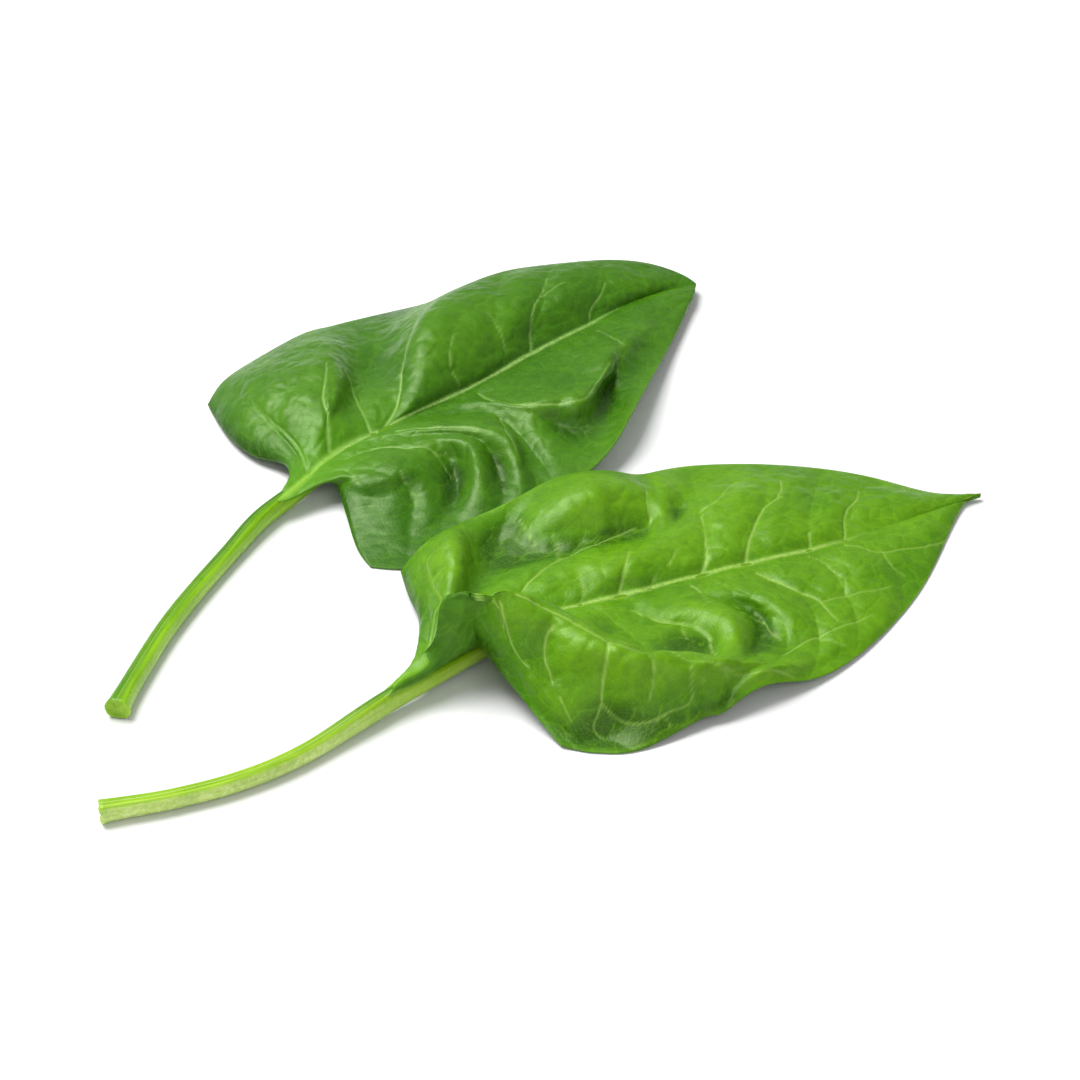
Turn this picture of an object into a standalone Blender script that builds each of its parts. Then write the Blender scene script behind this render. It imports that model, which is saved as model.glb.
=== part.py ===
"""Spinach bunch: two cut spinach leaves that lie together on a flat surface.

Each leaf is a waved blade in one piece and a stalk that runs on under the blade as its midrib.
The front leaf's near half is folded up into a hood, and its far side lies over the rear leaf.
X runs to the right of the picture, Y away from it and Z up. Points of a leaf are in its own frame,
in millimetres: along the leaf from the foot of the blade, out to its far side, and up.
"""
import math

import bmesh
import bpy
import numpy as np

MM = 0.001

# Driving dimensions, in millimetres and degrees
BLADE_THICKNESS = 0.8
STALK_CLEARANCE = 0.9
COLUMN_WIDTH = 5.5
ROWS = 11
QUILT_SHARE = 0.06
QUILT_LIMIT = 1.3
STALK_SIDES = 12
STALK_CHANNEL = 0.1
STALK_SINK = 0.3
RING_SPACING = 9.0
MIDRIB_START = 4.0
LEAST_REST_THICKNESS = 0.5
SHARP_EDGE = 60
BLADE_ROUGHNESS = 0.5
STALK_ROUGHNESS = 0.45

# Where the foot of each blade stands and which way its leaf points
FRONT_FOOT = (-33.0, -81.5)
FRONT_HEADING = 29.1
REAR_FOOT = (-81.0, 27.5)
REAR_HEADING = 44.0
PLAN_CENTRE = (9.5, 17.0)

# Midribs, as points along the upper side of the blade, and side ribs from midrib to margin.
# A side rib starts at its distance along the midrib, and the first one of a half is its cut-back edge.
FRONT_SPINE = (
    (-24, -7.2, 8.2), (-14, -5, 8.2), (3, 0, 8.5), (19, 4, 8.5), (35, 7, 8.5), (52, 7.5, 8),
    (77, 5, 7.5), (97, 4, 7), (116, 2.5, 6.5), (139, 0.5, 5.5), (160, 1, 4), (187, 3, 2.5),
    (213, 4, 1.5),
)
FRONT_FAR_RIBS = (
    (-21, ((-18.5, -3.5, 7.8), (-13, 0, 7), (-7.5, 3.5, 6.3), (-1.5, 9.5, 6), (6.5, 22, 5),
           (11, 32, 3.5), (13, 41, 3), (17, 56, 4))),
    (-11, ((3, 11, 7), (11, 23, 8), (16, 36, 9), (21, 49, 11), (26, 58, 10))),
    (1, ((13, 15, 8), (19, 23, 12), (26, 34, 17), (31, 46, 17), (43, 65, 9))),
    (18, ((24, 19, 9), (38.5, 37.5, 6.5), (51, 53, 5), (58, 61, 8), (63, 66, 11))),
    (35, ((41.5, 18.5, 10.5), (56, 27, 10), (72, 36.5, 7), (77.5, 42, 12), (78, 50, 17),
          (85, 70, 12))),
    (52, ((60, 13, 9), (68, 19.5, 11), (83, 35.5, 6.5), (88.5, 41.5, 11.5), (93, 50.5, 15.5),
          (100, 65.5, 12))),
    (70, ((72, 8, 9), (78, 14, 12.5), (95.5, 31.5, 7), (101.5, 39.5, 9.5), (105, 48.5, 12),
          (108, 62, 10))),
    (77, ((86, 15, 11.5), (98, 27, 8.5), (107.5, 42.5, 10), (112.5, 61.5, 9))),
    (84, ((92.5, 13.5, 10.5), (102, 25, 9.5), (110, 37.5, 6.5), (112, 45, 10), (117.5, 61.5, 8.5))),
    (98, ((106, 11, 9.3), (114, 25, 10), (120, 39.5, 8.5), (130, 61, 7))),
    (118, ((122, 9, 8.3), (132, 20, 10), (143, 32, 9), (152, 52, 6))),
    (140, ((143, 7, 7.5), (153, 20, 7), (172, 41, 4))),
    (156, ((161, 11, 6), (171, 19, 5.5), (185, 29, 3))),
    (182, ((184, 7, 3.5), (197, 14, 2))),
    (200, ((206, 8, 1.5),)),
)
FRONT_NEAR_RIBS = (
    (-21, ((-18, -6.2, 9), (-10, -1.5, 10.5), (-3, 1, 13), (0, -1, 18.5), (1.5, -1.5, 26),
           (3, -0.5, 30.5), (5.5, 0.5, 32), (7, 1, 32.5), (8.5, 0, 32), (9.5, -1, 29),
           (11, -1.5, 22.5), (13.5, -4, 14.5), (17, -25, 7), (19, -38, 2.5), (20, -45, 1))),
    (-11, ((-4, -4.5, 10.5), (1, -3.5, 14), (5, -4, 21), (8.5, -4.5, 28), (10.5, -2.5, 32),
           (13.5, -3, 33), (15, -4.5, 32), (15.5, -7, 29), (16, -11, 22.5), (17, -15.5, 16.5),
           (19, -28, 8), (21, -39, 2.5), (23, -48, 0.3))),
    (1, ((8, -2.5, 12.5), (12.5, -4, 20), (15.5, -4.5, 27), (16.5, -5, 31.5), (19.5, -5, 32),
         (21, -7.5, 30.5), (20.5, -11, 27.5), (20, -15, 22), (20, -21.5, 16.5), (22, -33, 8),
         (24, -43, 1.5), (26, -51, 0))),
    (18, ((19, -3, 17), (19.5, -4.5, 25), (22.5, -4.5, 29.5), (25, -5, 30.5), (28.5, -7, 29.5),
          (31.5, -10, 27.5), (33, -17, 25), (29.5, -20.5, 20.5), (26, -27.5, 13.5), (25, -37, 7.5),
          (27, -45, 0.8), (29, -53, 0))),
    (35, ((40, 1, 9.5), (47, -2.5, 12), (48, -13.5, 14.5), (45, -25.5, 20), (43, -33, 23.5),
          (40.5, -35.5, 22), (39, -37.5, 16.5), (37, -42, 8.5), (35, -48, 0.8), (34, -56, 0))),
    (52, ((58, 2.5, 8.5), (60, -7, 8.5), (60.5, -17.5, 9.5), (57.5, -31, 12.5), (54.5, -38, 18),
          (53, -42, 20.5), (52, -45, 17.5), (51, -48, 12.5), (48, -51, 6), (44, -58, 0.8))),
    (70, ((73, -11.5, 7.5), (79, -16.5, 7), (82.5, -21.5, 6.5), (83.5, -26.5, 6), (81, -33.5, 7),
          (75.5, -42.5, 12), (72.5, -48, 16), (69, -50, 14), (66, -52, 9), (61, -57, 3))),
    (77, ((86, -11, 8.5), (90.5, -17, 9), (91.5, -23.5, 9.5), (89, -31, 9.5), (85.5, -37.5, 9),
          (80.5, -44.5, 11.5), (76, -49.5, 14.5), (73.5, -50.5, 12), (71, -53, 8), (66, -57, 3))),
    (84, ((93.5, -5.5, 7.5), (97, -11.5, 7), (101.5, -16, 5.5), (103.5, -22.5, 4), (101, -28.5, 3.2),
          (95, -35.5, 4), (87, -43.5, 8), (80, -50.5, 13), (77.5, -51, 10), (74, -54, 6),
          (70, -57.5, 3.5))),
    (98, ((100, -3.5, 7.5), (105.5, -15, 8), (108.5, -25, 7), (108, -33, 5), (103, -40.5, 4),
          (94.5, -48, 7), (88, -53.5, 10.5), (85, -54.5, 8), (84, -56, 6.5))),
    (118, ((117.5, -11.5, 6.5), (121.5, -21.5, 5.5), (119, -33.5, 4.5), (113, -44.5, 3.5),
           (101, -56, 3))),
    (140, ((139, -11, 5.5), (136, -25, 4.5), (131, -39, 3.5), (123, -51, 1))),
    (156, ((157, -10, 5), (158, -23, 2.5), (150, -38, 0.3))),
    (182, ((181, -5, 2.5), (177, -19, 0.3))),
    (200, ((206, 4, 1),)),
)
REAR_SPINE = (
    (-19, -6.6, 7.8), (-9, -4.5, 8), (9, 0.5, 8.5), (28, 3, 8.5), (48, 4, 8), (66, 4, 7.5),
    (86, 4.5, 7), (118, 7.5, 6.5), (145, 8, 6.5), (165, 10, 5.7), (186, 9, 4.5), (201, 5, 4),
)
REAR_FAR_RIBS = (
    (-16, ((-12.8, -3.2, 7.4), (-8, -0.3, 6.8), (-3.3, 3.2, 6.2), (1.2, 8.8, 5.6), (3, 16, 4.5),
           (1, 26, 3), (3, 44, 2), (13, 69, 0.6))),
    (-2, ((7, 11, 8), (11, 30, 10), (15, 49, 10), (23, 73, 4))),
    (2, ((7.5, 7, 8.5), (16, 28.5, 12.5), (23.5, 52, 12), (31, 74.5, 5))),
    (6, ((10, 6, 9), (19, 23, 14), (31, 49, 14), (41, 75, 6))),
    (15, ((18, 9, 12), (30, 19, 17), (45, 41, 17), (64, 76, 7))),
    (21, ((25.5, 11.5, 12), (44, 29.5, 14), (59.5, 53, 11.5), (74.5, 76, 5.5))),
    (27, ((28, 7, 10), (46, 27, 9), (65, 50, 8), (86, 76, 3.5))),
    (37, ((45, 14, 9), (66, 36, 7), (85, 54, 7), (107, 70, 3))),
    (44, ((53, 8, 10.5), (68, 25, 14), (85, 39, 16), (105, 52, 14))),
    (56, ((61.5, 7, 10.5), (74, 21, 17.5), (89, 35, 20), (111, 51, 15))),
    (72, ((77, 8, 11), (86, 19, 17.5), (102, 34, 20), (123, 51, 15))),
    (93, ((101, 11, 11), (109, 20, 16.5), (122, 33, 18), (142, 50, 14))),
    (122, ((121, 12.5, 9.3), (130, 18, 14), (146, 31, 16), (160, 43, 13))),
    (150, ((154, 12.5, 9), (162, 20, 13), (178, 33, 12))),
    (174, ((179, 12, 7.5), (186, 18, 8), (196, 24, 7))),
    (188, ((197, 11, 5), (201, 12, 5))),
)
REAR_NEAR_RIBS = (
    (-16, ((-12.5, -7.6, 7.3), (-5, -8.2, 7.2), (2, -8.3, 7), (5.5, -10.8, 6.5), (3, -17, 5),
           (-2, -26, 3), (-9, -39, 1), (-12, -49, 0.3))),
    (-2, ((5, -6, 9), (11, -10.5, 10), (15.5, -18, 11.5), (18.5, -26, 11.5), (21.5, -31, 8),
          (5, -49, 1.2), (-4, -58, 0.3))),
    (2, ((11, -3.5, 9), (18, -9.5, 10), (25.5, -18, 11.5), (31, -25.5, 10.5), (31, -32.5, 6.5),
         (12, -51, 1.5), (2, -60, 0.4))),
    (6, ((17, -2.5, 9.5), (28.5, -10.5, 11), (38.5, -20, 12), (42, -25, 10), (41.5, -30, 6),
         (38.5, -36.5, 3.5), (19, -53, 2), (8, -61, 0.5))),
    (15, ((28, -1.5, 9.5), (38.5, -12, 11), (46.5, -22.5, 12.5), (48.5, -31.5, 13), (44.5, -40, 12),
          (40.5, -47, 9), (32, -58, 2.5), (22, -64, 2))),
    (21, ((32, -2, 10), (43, -12.5, 11.5), (51.5, -23, 12), (54.5, -32, 10.5), (53.5, -37.5, 7.5),
          (49.5, -45, 5), (40, -58, 3.5), (30, -66, 2.5))),
    (27, ((36, -2.5, 10), (46.5, -13.5, 12.6), (55.5, -25, 13.8), (59.5, -35, 13.3),
          (58, -42.5, 10.5), (48, -58, 5), (37, -67, 3))),
    (37, ((46, -1, 9), (55, -9.5, 10.5), (66, -19.5, 11), (70, -29.5, 8.5), (64, -42, 6),
          (58, -56, 4), (49, -67, 4))),
    (44, ((52, 0, 8), (63, -6, 8), (72, -17, 9), (73, -30, 7), (68, -46, 5), (61, -61, 5),
          (55, -68, 5))),
    (56, ((63, 2, 7), (73, -8, 9), (77, -19, 10), (77, -34, 8), (71, -51, 6), (66, -66, 6))),
    (72, ((77, -2, 8), (80.5, -19.5, 11), (85.5, -30.5, 12.5), (87.5, -36, 7), (82.5, -51.5, 5.5),
          (77, -64, 7))),
    (93, ((96.5, -4, 8.5), (94.5, -27, 12), (95.5, -38, 13.5), (98.5, -39.5, 8), (95, -48.5, 6),
          (89, -61, 9))),
    (122, ((117, -7, 8), (112, -25.5, 12), (112.5, -32, 13), (116.5, -30, 6.5), (111.5, -40, 6.5),
           (105, -54, 12))),
    (150, ((143, -5.5, 8.5), (134.5, -20, 11.5), (134, -23.5, 9), (132.5, -29.5, 7),
           (131, -38.5, 9))),
    (174, ((167, -3, 6.5), (162, -13, 6), (160, -21, 5))),
    (188, ((190, 0, 4.5), (185, -6, 4))),
)

# Ribs, counted from the foot, that carry a side vein and lie in a groove of the puffed blade
FRONT_FAR_GROOVES = (0, 1, 3, 4, 6, 9, 10, 11, 12, 15)
FRONT_NEAR_GROOVES = (0, 1, 2, 3, 4, 5, 6, 8, 9, 10, 11, 12, 15)
REAR_FAR_GROOVES = (0, 1, 4, 8, 11, 12, 13, 16)
REAR_NEAR_GROOVES = (0, 1, 3, 8, 12, 13, 16)

# Linear colours of blade and stalk
FRONT_COLOURS = ((0.10, 0.30, 0.03), (0.42, 0.62, 0.16))
REAR_COLOURS = ((0.06, 0.22, 0.02), (0.32, 0.55, 0.08))

# Stalks from the cut end to the foot of the blade: along, out, height of the top, width, depth
FRONT_STALK = (
    (-112, -9, 6.9, 6.9, 6.9), (-102, -13, 6.8, 6.8, 6.8), (-90, -15, 6.7, 6.7, 6.7),
    (-78, -16, 6.6, 6.6, 6.6), (-65, -17, 6.5, 6.5, 6.5), (-52, -15, 6.5, 6.4, 6.4),
    (-37, -11, 6.6, 6.3, 6.2), (-24, -7, 6.8, 6.2, 6.0), (-14, -4, 7.0, 6.0, 6.0),
)
REAR_STALK = (
    (-120, -56, 7.3, 7.6, 7.3), (-114, -52, 7.0, 7.0, 7.0), (-103, -46, 6.8, 6.8, 6.8),
    (-89, -37, 6.6, 6.6, 6.6), (-76, -30, 6.5, 6.4, 6.5), (-63, -24, 6.5, 6.3, 6.4),
    (-51, -19, 6.5, 6.2, 6.3), (-38, -13, 6.5, 6.1, 6.2), (-25, -8, 6.6, 6.0, 6.0),
    (-13, -4, 6.3, 5.6, 5.8),
)

# Width and depth of the midrib under the blade at shares of the way from foot to tip
MIDRIB_SHARES = (0.0, 0.1, 0.25, 0.45, 0.65, 0.8, 0.88)
MIDRIB_WIDTHS = (5.8, 5.0, 4.2, 3.4, 2.4, 1.7, 1.2)
MIDRIB_DEPTHS = (6.0, 5.6, 5.0, 4.0, 2.6, 1.5, 1.0)
MIDRIB_STEPS = 14


def smooth_curve(points, knots, at):
    """Natural cubic curve through points that stand at knots, read at the given places."""
    points = np.asarray(points, float)
    gaps = np.diff(knots)
    count = len(knots)
    if count == 2:
        share = ((at - knots[0]) / gaps[0])[:, None]
        return points[0] * (1 - share) + points[1] * share
    matrix = np.zeros((count, count))
    right = np.zeros(points.shape)
    matrix[0, 0] = 1.0
    matrix[-1, -1] = 1.0
    for i in range(1, count - 1):
        matrix[i, i - 1:i + 2] = gaps[i - 1], 2 * (gaps[i - 1] + gaps[i]), gaps[i]
        slope_before = (points[i] - points[i - 1]) / gaps[i - 1]
        slope_after = (points[i + 1] - points[i]) / gaps[i]
        right[i] = 6 * (slope_after - slope_before)
    bend = np.linalg.solve(matrix, right)
    k = np.clip(np.searchsorted(knots, at, side="right") - 1, 0, count - 2)
    after = (knots[k + 1] - at)[:, None]
    before = (at - knots[k])[:, None]
    gap = gaps[k][:, None]
    curved = (bend[k] * after ** 3 + bend[k + 1] * before ** 3) / (6 * gap)
    return (curved + (points[k] / gap - bend[k] * gap / 6) * after
            + (points[k + 1] / gap - bend[k + 1] * gap / 6) * before)


def running_sum(steps):
    return np.concatenate([[0.0], np.cumsum(steps)])


def evenly_along(points, shares):
    """Smooth curve through points, read at even shares of its length."""
    points = np.asarray(points, float)
    knots = running_sum(np.linalg.norm(np.diff(points, axis=0), axis=1) ** 0.5)
    fine = np.linspace(0, knots[-1], 200)
    curve = smooth_curve(points, knots, fine)
    length = running_sum(np.linalg.norm(np.diff(curve, axis=0), axis=1))
    return smooth_curve(points, knots, np.interp(shares * length[-1], length, fine))


def spine_at(spine, stations):
    spine = np.asarray(spine, float)
    return smooth_curve(spine, spine[:, 0], np.asarray(stations, float))


def half_surface(spine, ribs, places, shares):
    """Grid of points of one half: places count the ribs from the foot, shares run to the margin."""
    stations = np.array([float(station) for station, _ in ribs] + [float(spine[-1][0])])
    roots = spine_at(spine, stations)
    net = [evenly_along([root, *points], shares) for root, (_, points) in zip(roots, ribs)]
    net = np.array(net + [np.repeat(roots[-1:], len(shares), axis=0)])
    gap = np.linalg.norm(np.diff(net, axis=0), axis=2)
    knots = running_sum((gap[:, 0] + gap[:, len(shares) // 2] + gap[:, -1]) ** 0.5)
    counts = np.arange(len(stations))
    at = np.interp(places, counts, knots)
    grid = np.stack([smooth_curve(net[:, j], knots, at) for j in range(len(shares))], axis=1)
    true_spine = spine_at(spine, np.interp(places, counts, stations))
    return grid + (true_spine - grid[:, 0])[:, None] * (1 - shares[None, :, None]) ** 2


def upward_normals(grid):
    """Normals of a grid of points whose first axis runs along the leaf and second to its far side."""
    lengthwise = np.gradient(grid, axis=0)
    crosswise = np.gradient(grid, axis=1)
    normals = np.cross(lengthwise, crosswise)
    size = np.linalg.norm(normals, axis=2, keepdims=True)
    return normals / np.maximum(size, 1e-9)


def quilt_height(grid, places, shares, grooves):
    """How far one half puffs up between the ribs that carry a vein."""
    grooves = np.array(grooves, float)
    which = np.clip(np.searchsorted(grooves, places, side="right") - 1, 0, len(grooves) - 2)
    part = (places - grooves[which]) / (grooves[which + 1] - grooves[which])
    spread = np.zeros(grid.shape[:2])
    for number in range(len(grooves) - 1):
        inside = np.where(which == number)[0]
        spread[inside] = np.linalg.norm(grid[inside[-1]] - grid[inside[0]], axis=1)
    height = np.minimum(QUILT_SHARE * spread, QUILT_LIMIT) * (4 * part * (1 - part))[:, None]
    return height * np.sin(math.pi * shares)[None, :] ** 0.7


def column_places(spine, far_ribs, near_ribs):
    """Rib counts at which the mesh has a column, closer where the ribs' ends lie closer."""
    places = [0.0]
    far_ends = [points[-1] for _, points in far_ribs] + [spine[-1]]
    near_ends = [points[-1] for _, points in near_ribs] + [spine[-1]]
    for i in range(len(far_ribs)):
        reach = max(math.dist(far_ends[i], far_ends[i + 1]), math.dist(near_ends[i], near_ends[i + 1]))
        count = max(2, round(reach / COLUMN_WIDTH))
        places += [i + (step + 1) / count for step in range(count)]
    return np.array(places)


def blade_grid(spine, far_ribs, near_ribs, far_grooves, near_grooves):
    """Upper side of a whole blade, from the near margin over the midrib to the far margin."""
    places = column_places(spine, far_ribs, near_ribs)
    shares = np.linspace(0, 1, ROWS + 1)
    far = half_surface(spine, far_ribs, places, shares)
    near = half_surface(spine, near_ribs, places, shares)
    far_puff = quilt_height(far, places, shares, far_grooves)
    near_puff = quilt_height(near, places, shares, near_grooves)
    grid = np.concatenate([near[:, :0:-1], far], axis=1)
    puff = np.concatenate([near_puff[:, :0:-1], far_puff], axis=1)
    return grid + upward_normals(grid) * puff[:, :, None]


def new_material(name, colour, roughness):
    material = bpy.data.materials.new(name)
    material.use_nodes = True
    shader = material.node_tree.nodes["Principled BSDF"]
    shader.inputs["Base Color"].default_value = (*colour, 1.0)
    shader.inputs["Roughness"].default_value = roughness
    shader.inputs["Metallic"].default_value = 0.0
    return material


def new_object(name, vertices, faces, foot, heading, material, parent):
    """One closed mesh with its origin at the foot of its blade, turned to its leaf's heading."""
    mesh = bpy.data.meshes.new(name)
    mesh.from_pydata([tuple(float(v) * MM for v in point) for point in vertices], [], faces)
    work = bmesh.new()
    work.from_mesh(mesh)
    bmesh.ops.triangulate(work, faces=[face for face in work.faces if len(face.verts) > 4])
    bmesh.ops.recalc_face_normals(work, faces=work.faces)
    work.to_mesh(mesh)
    work.free()
    mesh.shade_smooth()
    mesh.set_sharp_from_angle(angle=math.radians(SHARP_EDGE))
    mesh.materials.append(material)
    item = bpy.data.objects.new(name, mesh)
    item.location = ((foot[0] - PLAN_CENTRE[0]) * MM, (foot[1] - PLAN_CENTRE[1]) * MM, 0.0)
    item.rotation_euler = (0.0, 0.0, math.radians(heading))
    item.parent = parent
    bpy.context.scene.collection.objects.link(item)
    return item


def blade_mesh(top):
    """Closed blade of even thickness, split into triangles alike on both faces."""
    normals = upward_normals(top)
    bottom = top - normals * BLADE_THICKNESS
    bottom[:, :, 2] = np.maximum(bottom[:, :, 2], 0.0)
    least = LEAST_REST_THICKNESS * BLADE_THICKNESS * normals[:, :, 2]
    top[:, :, 2] = np.maximum(top[:, :, 2], bottom[:, :, 2] + least)
    columns, rows = top.shape[:2]
    last = columns - 1
    middle = rows // 2
    vertices = []
    number = -np.ones((2, columns, rows), int)
    for side, grid in enumerate((top, bottom)):
        for i in range(columns):
            for j in range(rows):
                if i == last and j != middle:
                    continue
                number[side, i, j] = len(vertices)
                vertices.append(grid[i, j])
        number[side, last, :] = number[side, last, middle]
    faces = []
    for side in (0, 1):
        for i in range(last):
            for j in range(rows - 1):
                a, b = number[side, i, j], number[side, i + 1, j]
                c, d = number[side, i + 1, j + 1], number[side, i, j + 1]
                corners = ((a, b, d), (b, c, d)) if (j < middle) else ((a, b, c), (a, c, d))
                for corner in corners:
                    if len(set(corner)) == 3:
                        faces.append(corner if side == 0 else corner[::-1])
    rim = [(i, 0) for i in range(last, 0, -1)] + [(0, j) for j in range(rows)]
    rim += [(i, rows - 1) for i in range(1, last + 1)]
    for (i, j), (k, m) in zip(rim, rim[1:]):
        if number[0, i, j] != number[0, k, m]:
            faces.append((number[0, i, j], number[0, k, m], number[1, k, m]))
            faces.append((number[0, i, j], number[1, k, m], number[1, i, j]))
    return vertices, faces


def stalk_stations(spine, stalk):
    """Rings of a stalk: centre line points, height of the top, width and depth."""
    shares = np.linspace(0, MIDRIB_SHARES[-1], MIDRIB_STEPS)
    line = spine_at(spine, MIDRIB_START + shares * (spine[-1][0] - MIDRIB_START))
    width = np.interp(shares, MIDRIB_SHARES, MIDRIB_WIDTHS)
    depth = np.interp(shares, MIDRIB_SHARES, MIDRIB_DEPTHS)
    height = line[:, 2] - BLADE_THICKNESS - STALK_CLEARANCE
    under = np.column_stack([line[:, :2], height, width, np.minimum(depth, height)])
    return np.vstack([np.array(stalk, float), under])


def stalk_mesh(spine, stalk):
    """Closed stalk with a shallow channel on top, thinning into the midrib under the blade."""
    keys = stalk_stations(spine, stalk)
    knots = running_sum(np.linalg.norm(np.diff(keys[:, :2], axis=0), axis=1))
    count = round(knots[-1] / RING_SPACING) + 1
    rings = smooth_curve(keys, knots, np.linspace(0, knots[-1], count))
    heading = np.gradient(rings[:, :2], axis=0)
    heading /= np.linalg.norm(heading, axis=1, keepdims=True)
    vertices = []
    for (x, y, height, width, depth), (dx, dy) in zip(rings, heading):
        for side in range(STALK_SIDES):
            turn = 2 * math.pi * (side + 0.5) / STALK_SIDES + math.pi / 2
            out = 0.5 * width * math.cos(turn)
            up = 0.5 * depth * (math.sin(turn) - 1)
            if side in (0, STALK_SIDES - 1):
                up -= STALK_CHANNEL * depth
            low = max(height + up - STALK_SINK, 0.0)
            vertices.append((x - dy * out, y + dx * out, low))
    faces = [tuple(range(STALK_SIDES))]
    for ring in range(count - 1):
        for side in range(STALK_SIDES):
            after = (side + 1) % STALK_SIDES
            a, b = ring * STALK_SIDES + side, ring * STALK_SIDES + after
            faces.append((a, b, b + STALK_SIDES, a + STALK_SIDES))
    faces.append(tuple(range((count - 1) * STALK_SIDES, count * STALK_SIDES))[::-1])
    return vertices, faces


def build_leaf(name, foot, heading, halves, stalk, colours, parent):
    spine = halves[0]
    vertices, faces = blade_mesh(blade_grid(*halves))
    blade_skin = new_material(name + "_blade_green", colours[0], BLADE_ROUGHNESS)
    new_object(name + "_blade", vertices, faces, foot, heading, blade_skin, parent)
    vertices, faces = stalk_mesh(spine, stalk)
    stalk_skin = new_material(name + "_stalk_green", colours[1], STALK_ROUGHNESS)
    new_object(name + "_stalk", vertices, faces, foot, heading, stalk_skin, parent)


def build_bunch():
    for item in list(bpy.data.objects):
        bpy.data.objects.remove(item, do_unlink=True)
    bunch = bpy.data.objects.new("spinach_bunch", None)
    bpy.context.scene.collection.objects.link(bunch)
    front = (FRONT_SPINE, FRONT_FAR_RIBS, FRONT_NEAR_RIBS, FRONT_FAR_GROOVES, FRONT_NEAR_GROOVES)
    rear = (REAR_SPINE, REAR_FAR_RIBS, REAR_NEAR_RIBS, REAR_FAR_GROOVES, REAR_NEAR_GROOVES)
    build_leaf("front", FRONT_FOOT, FRONT_HEADING, front, FRONT_STALK, FRONT_COLOURS, bunch)
    build_leaf("rear", REAR_FOOT, REAR_HEADING, rear, REAR_STALK, REAR_COLOURS, bunch)


build_bunch()
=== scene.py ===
"""Looks of the spinach bunch: two finely veined leaves on a pale floor, seen as in the photograph.

The points of each blade are the ones that its solid was made from, in millimetres, in the leaf's own
frame: along the leaf from the foot of the blade, out to its far side, and up.
"""
import math

import bpy
import numpy as np
from mathutils import Matrix, Vector, kdtree, noise


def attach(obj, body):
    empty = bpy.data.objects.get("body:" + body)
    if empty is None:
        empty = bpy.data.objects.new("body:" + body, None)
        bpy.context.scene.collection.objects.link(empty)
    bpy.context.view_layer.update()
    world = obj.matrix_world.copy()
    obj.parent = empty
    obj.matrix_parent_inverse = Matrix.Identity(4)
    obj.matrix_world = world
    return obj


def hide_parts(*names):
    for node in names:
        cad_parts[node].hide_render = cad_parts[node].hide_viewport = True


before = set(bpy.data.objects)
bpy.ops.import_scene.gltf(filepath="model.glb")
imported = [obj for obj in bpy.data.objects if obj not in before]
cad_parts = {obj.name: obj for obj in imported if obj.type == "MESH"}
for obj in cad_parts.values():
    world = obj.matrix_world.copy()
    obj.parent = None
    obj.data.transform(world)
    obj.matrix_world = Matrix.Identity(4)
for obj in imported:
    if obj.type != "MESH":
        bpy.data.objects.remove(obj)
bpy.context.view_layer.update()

MM = 0.001
SEED = 7
NOISE_SHIFT = Vector((11.3, 4.7, 2.9))
noise.seed_set(SEED)

# Mesh fineness: column width and stalk step in millimetres, rows of each half and sides of a stalk
COLUMN_WIDTH = 0.8
ROWS = 130
STALK_STEP = 1.2
STALK_SIDES = 48

# Blade section and relief, in millimetres, and the windows of averages, in columns and rows
BLADE_THICKNESS = 0.7
EDGE_THICKNESS = 0.35
EDGE_THIN_POWER = 12
EDGE_CALM_POWER = 6
QUILT_SHARE = 0.06
QUILT_LIMIT = 1.3
QUILT_POWER = 0.7
CELL_SIZE = 7.0
CELL_CROOK = 0.35
CELL_CROOK_SCALE = 0.9
BLISTER_HEIGHT = 0.26
BLISTER_REACH = 1.8
WALL_WIDTH = 0.24
SWELL_HEIGHT = 0.5
SWELL_REACH = 4.0
VEIN_DEPTH = 0.4
LEAST_VEIN = 0.31
BASAL_REACH = 0.6
# These three set where the colour gets painted shade and painted light: in hollows, on ridges and on the
# curled edge near the foot
HOLLOW_SHADE_REACHES = (12, 18)
CURL_SHADE_REACH = 2.6
CURL_SHADE_SLOPE = 2.5
NORMAL_REACHES = (2, 2)
STEADY_LEAST = 0.75
STEADY_SPAN = 0.2
ROUNDING_REACHES = (4, 3)
FULL_VEIN = 0.45
GROOVE_REACH = 1.6
UNDER_VEIN = 0.45
RIPPLE_HEIGHT = 0.7
RIPPLE_SIZE = 14.0
RIPPLE_START = 5.0
LEAST_THICKNESS = 0.3
PUCKER_HEIGHT = 0.08
PUCKER_SIZE = 3.5
RIB_RIDGE = 0.45
RIB_VALLEY = 0.6
RIB_VALLEY_REACH = 3.5
VEIN_SAMPLE = 0.35
LEAST_VEIN_LEG = 0.2
CURVE_SAMPLES = 400
UV_SPAN = 300.0
UV_SHIFT = np.array([0.05, 0.5])

# Midrib and stalk, in millimetres
MIDRIB_PLACES = (0.0, 0.06, 0.15, 0.4, 0.7, 1.0)
MIDRIB_HALF_WIDTHS = (2.1, 1.6, 1.3, 1.0, 0.75, 0.45)
MIDRIB_FADE = 0.12
MIDRIB_SINK = 0.15
MIDRIB_START = 4.0
FOOT_RISE_PLACES = (-45.0, -24.0, -13.0)
FOOT_RISES = (0.0, 1.6, 1.75)
RIDGE_HEIGHT = 0.09
RIDGES = 14
RIDGE_SWAY = 0.6
RIDGE_SWAY_LENGTH = 30.0
RIDGE_NOISE = 0.7
RIDGE_NOISE_TURN = 4.0
RIDGE_NOISE_LENGTH = 45.0
RIDGE_FADE = 0.6
BULGE = 0.03
BULGE_LENGTH = 18.0
CHANNEL_DEPTH = 0.5
CHANNEL_REACH = 0.42
STALK_GIRTH = 20.0
CUT_FLARE = 0.12
CUT_FLARE_LENGTH = 3.0
CUT_RAGGED = 0.5
CUT_RINGS = ((0.93, -0.25), (0.78, 0.15), (0.5, 0.45), (0.22, 0.25))
CUT_MIDDLE = 0.2
CUT_NOISE = 0.12
CUT_NOISE_TURN = 2.5

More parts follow.
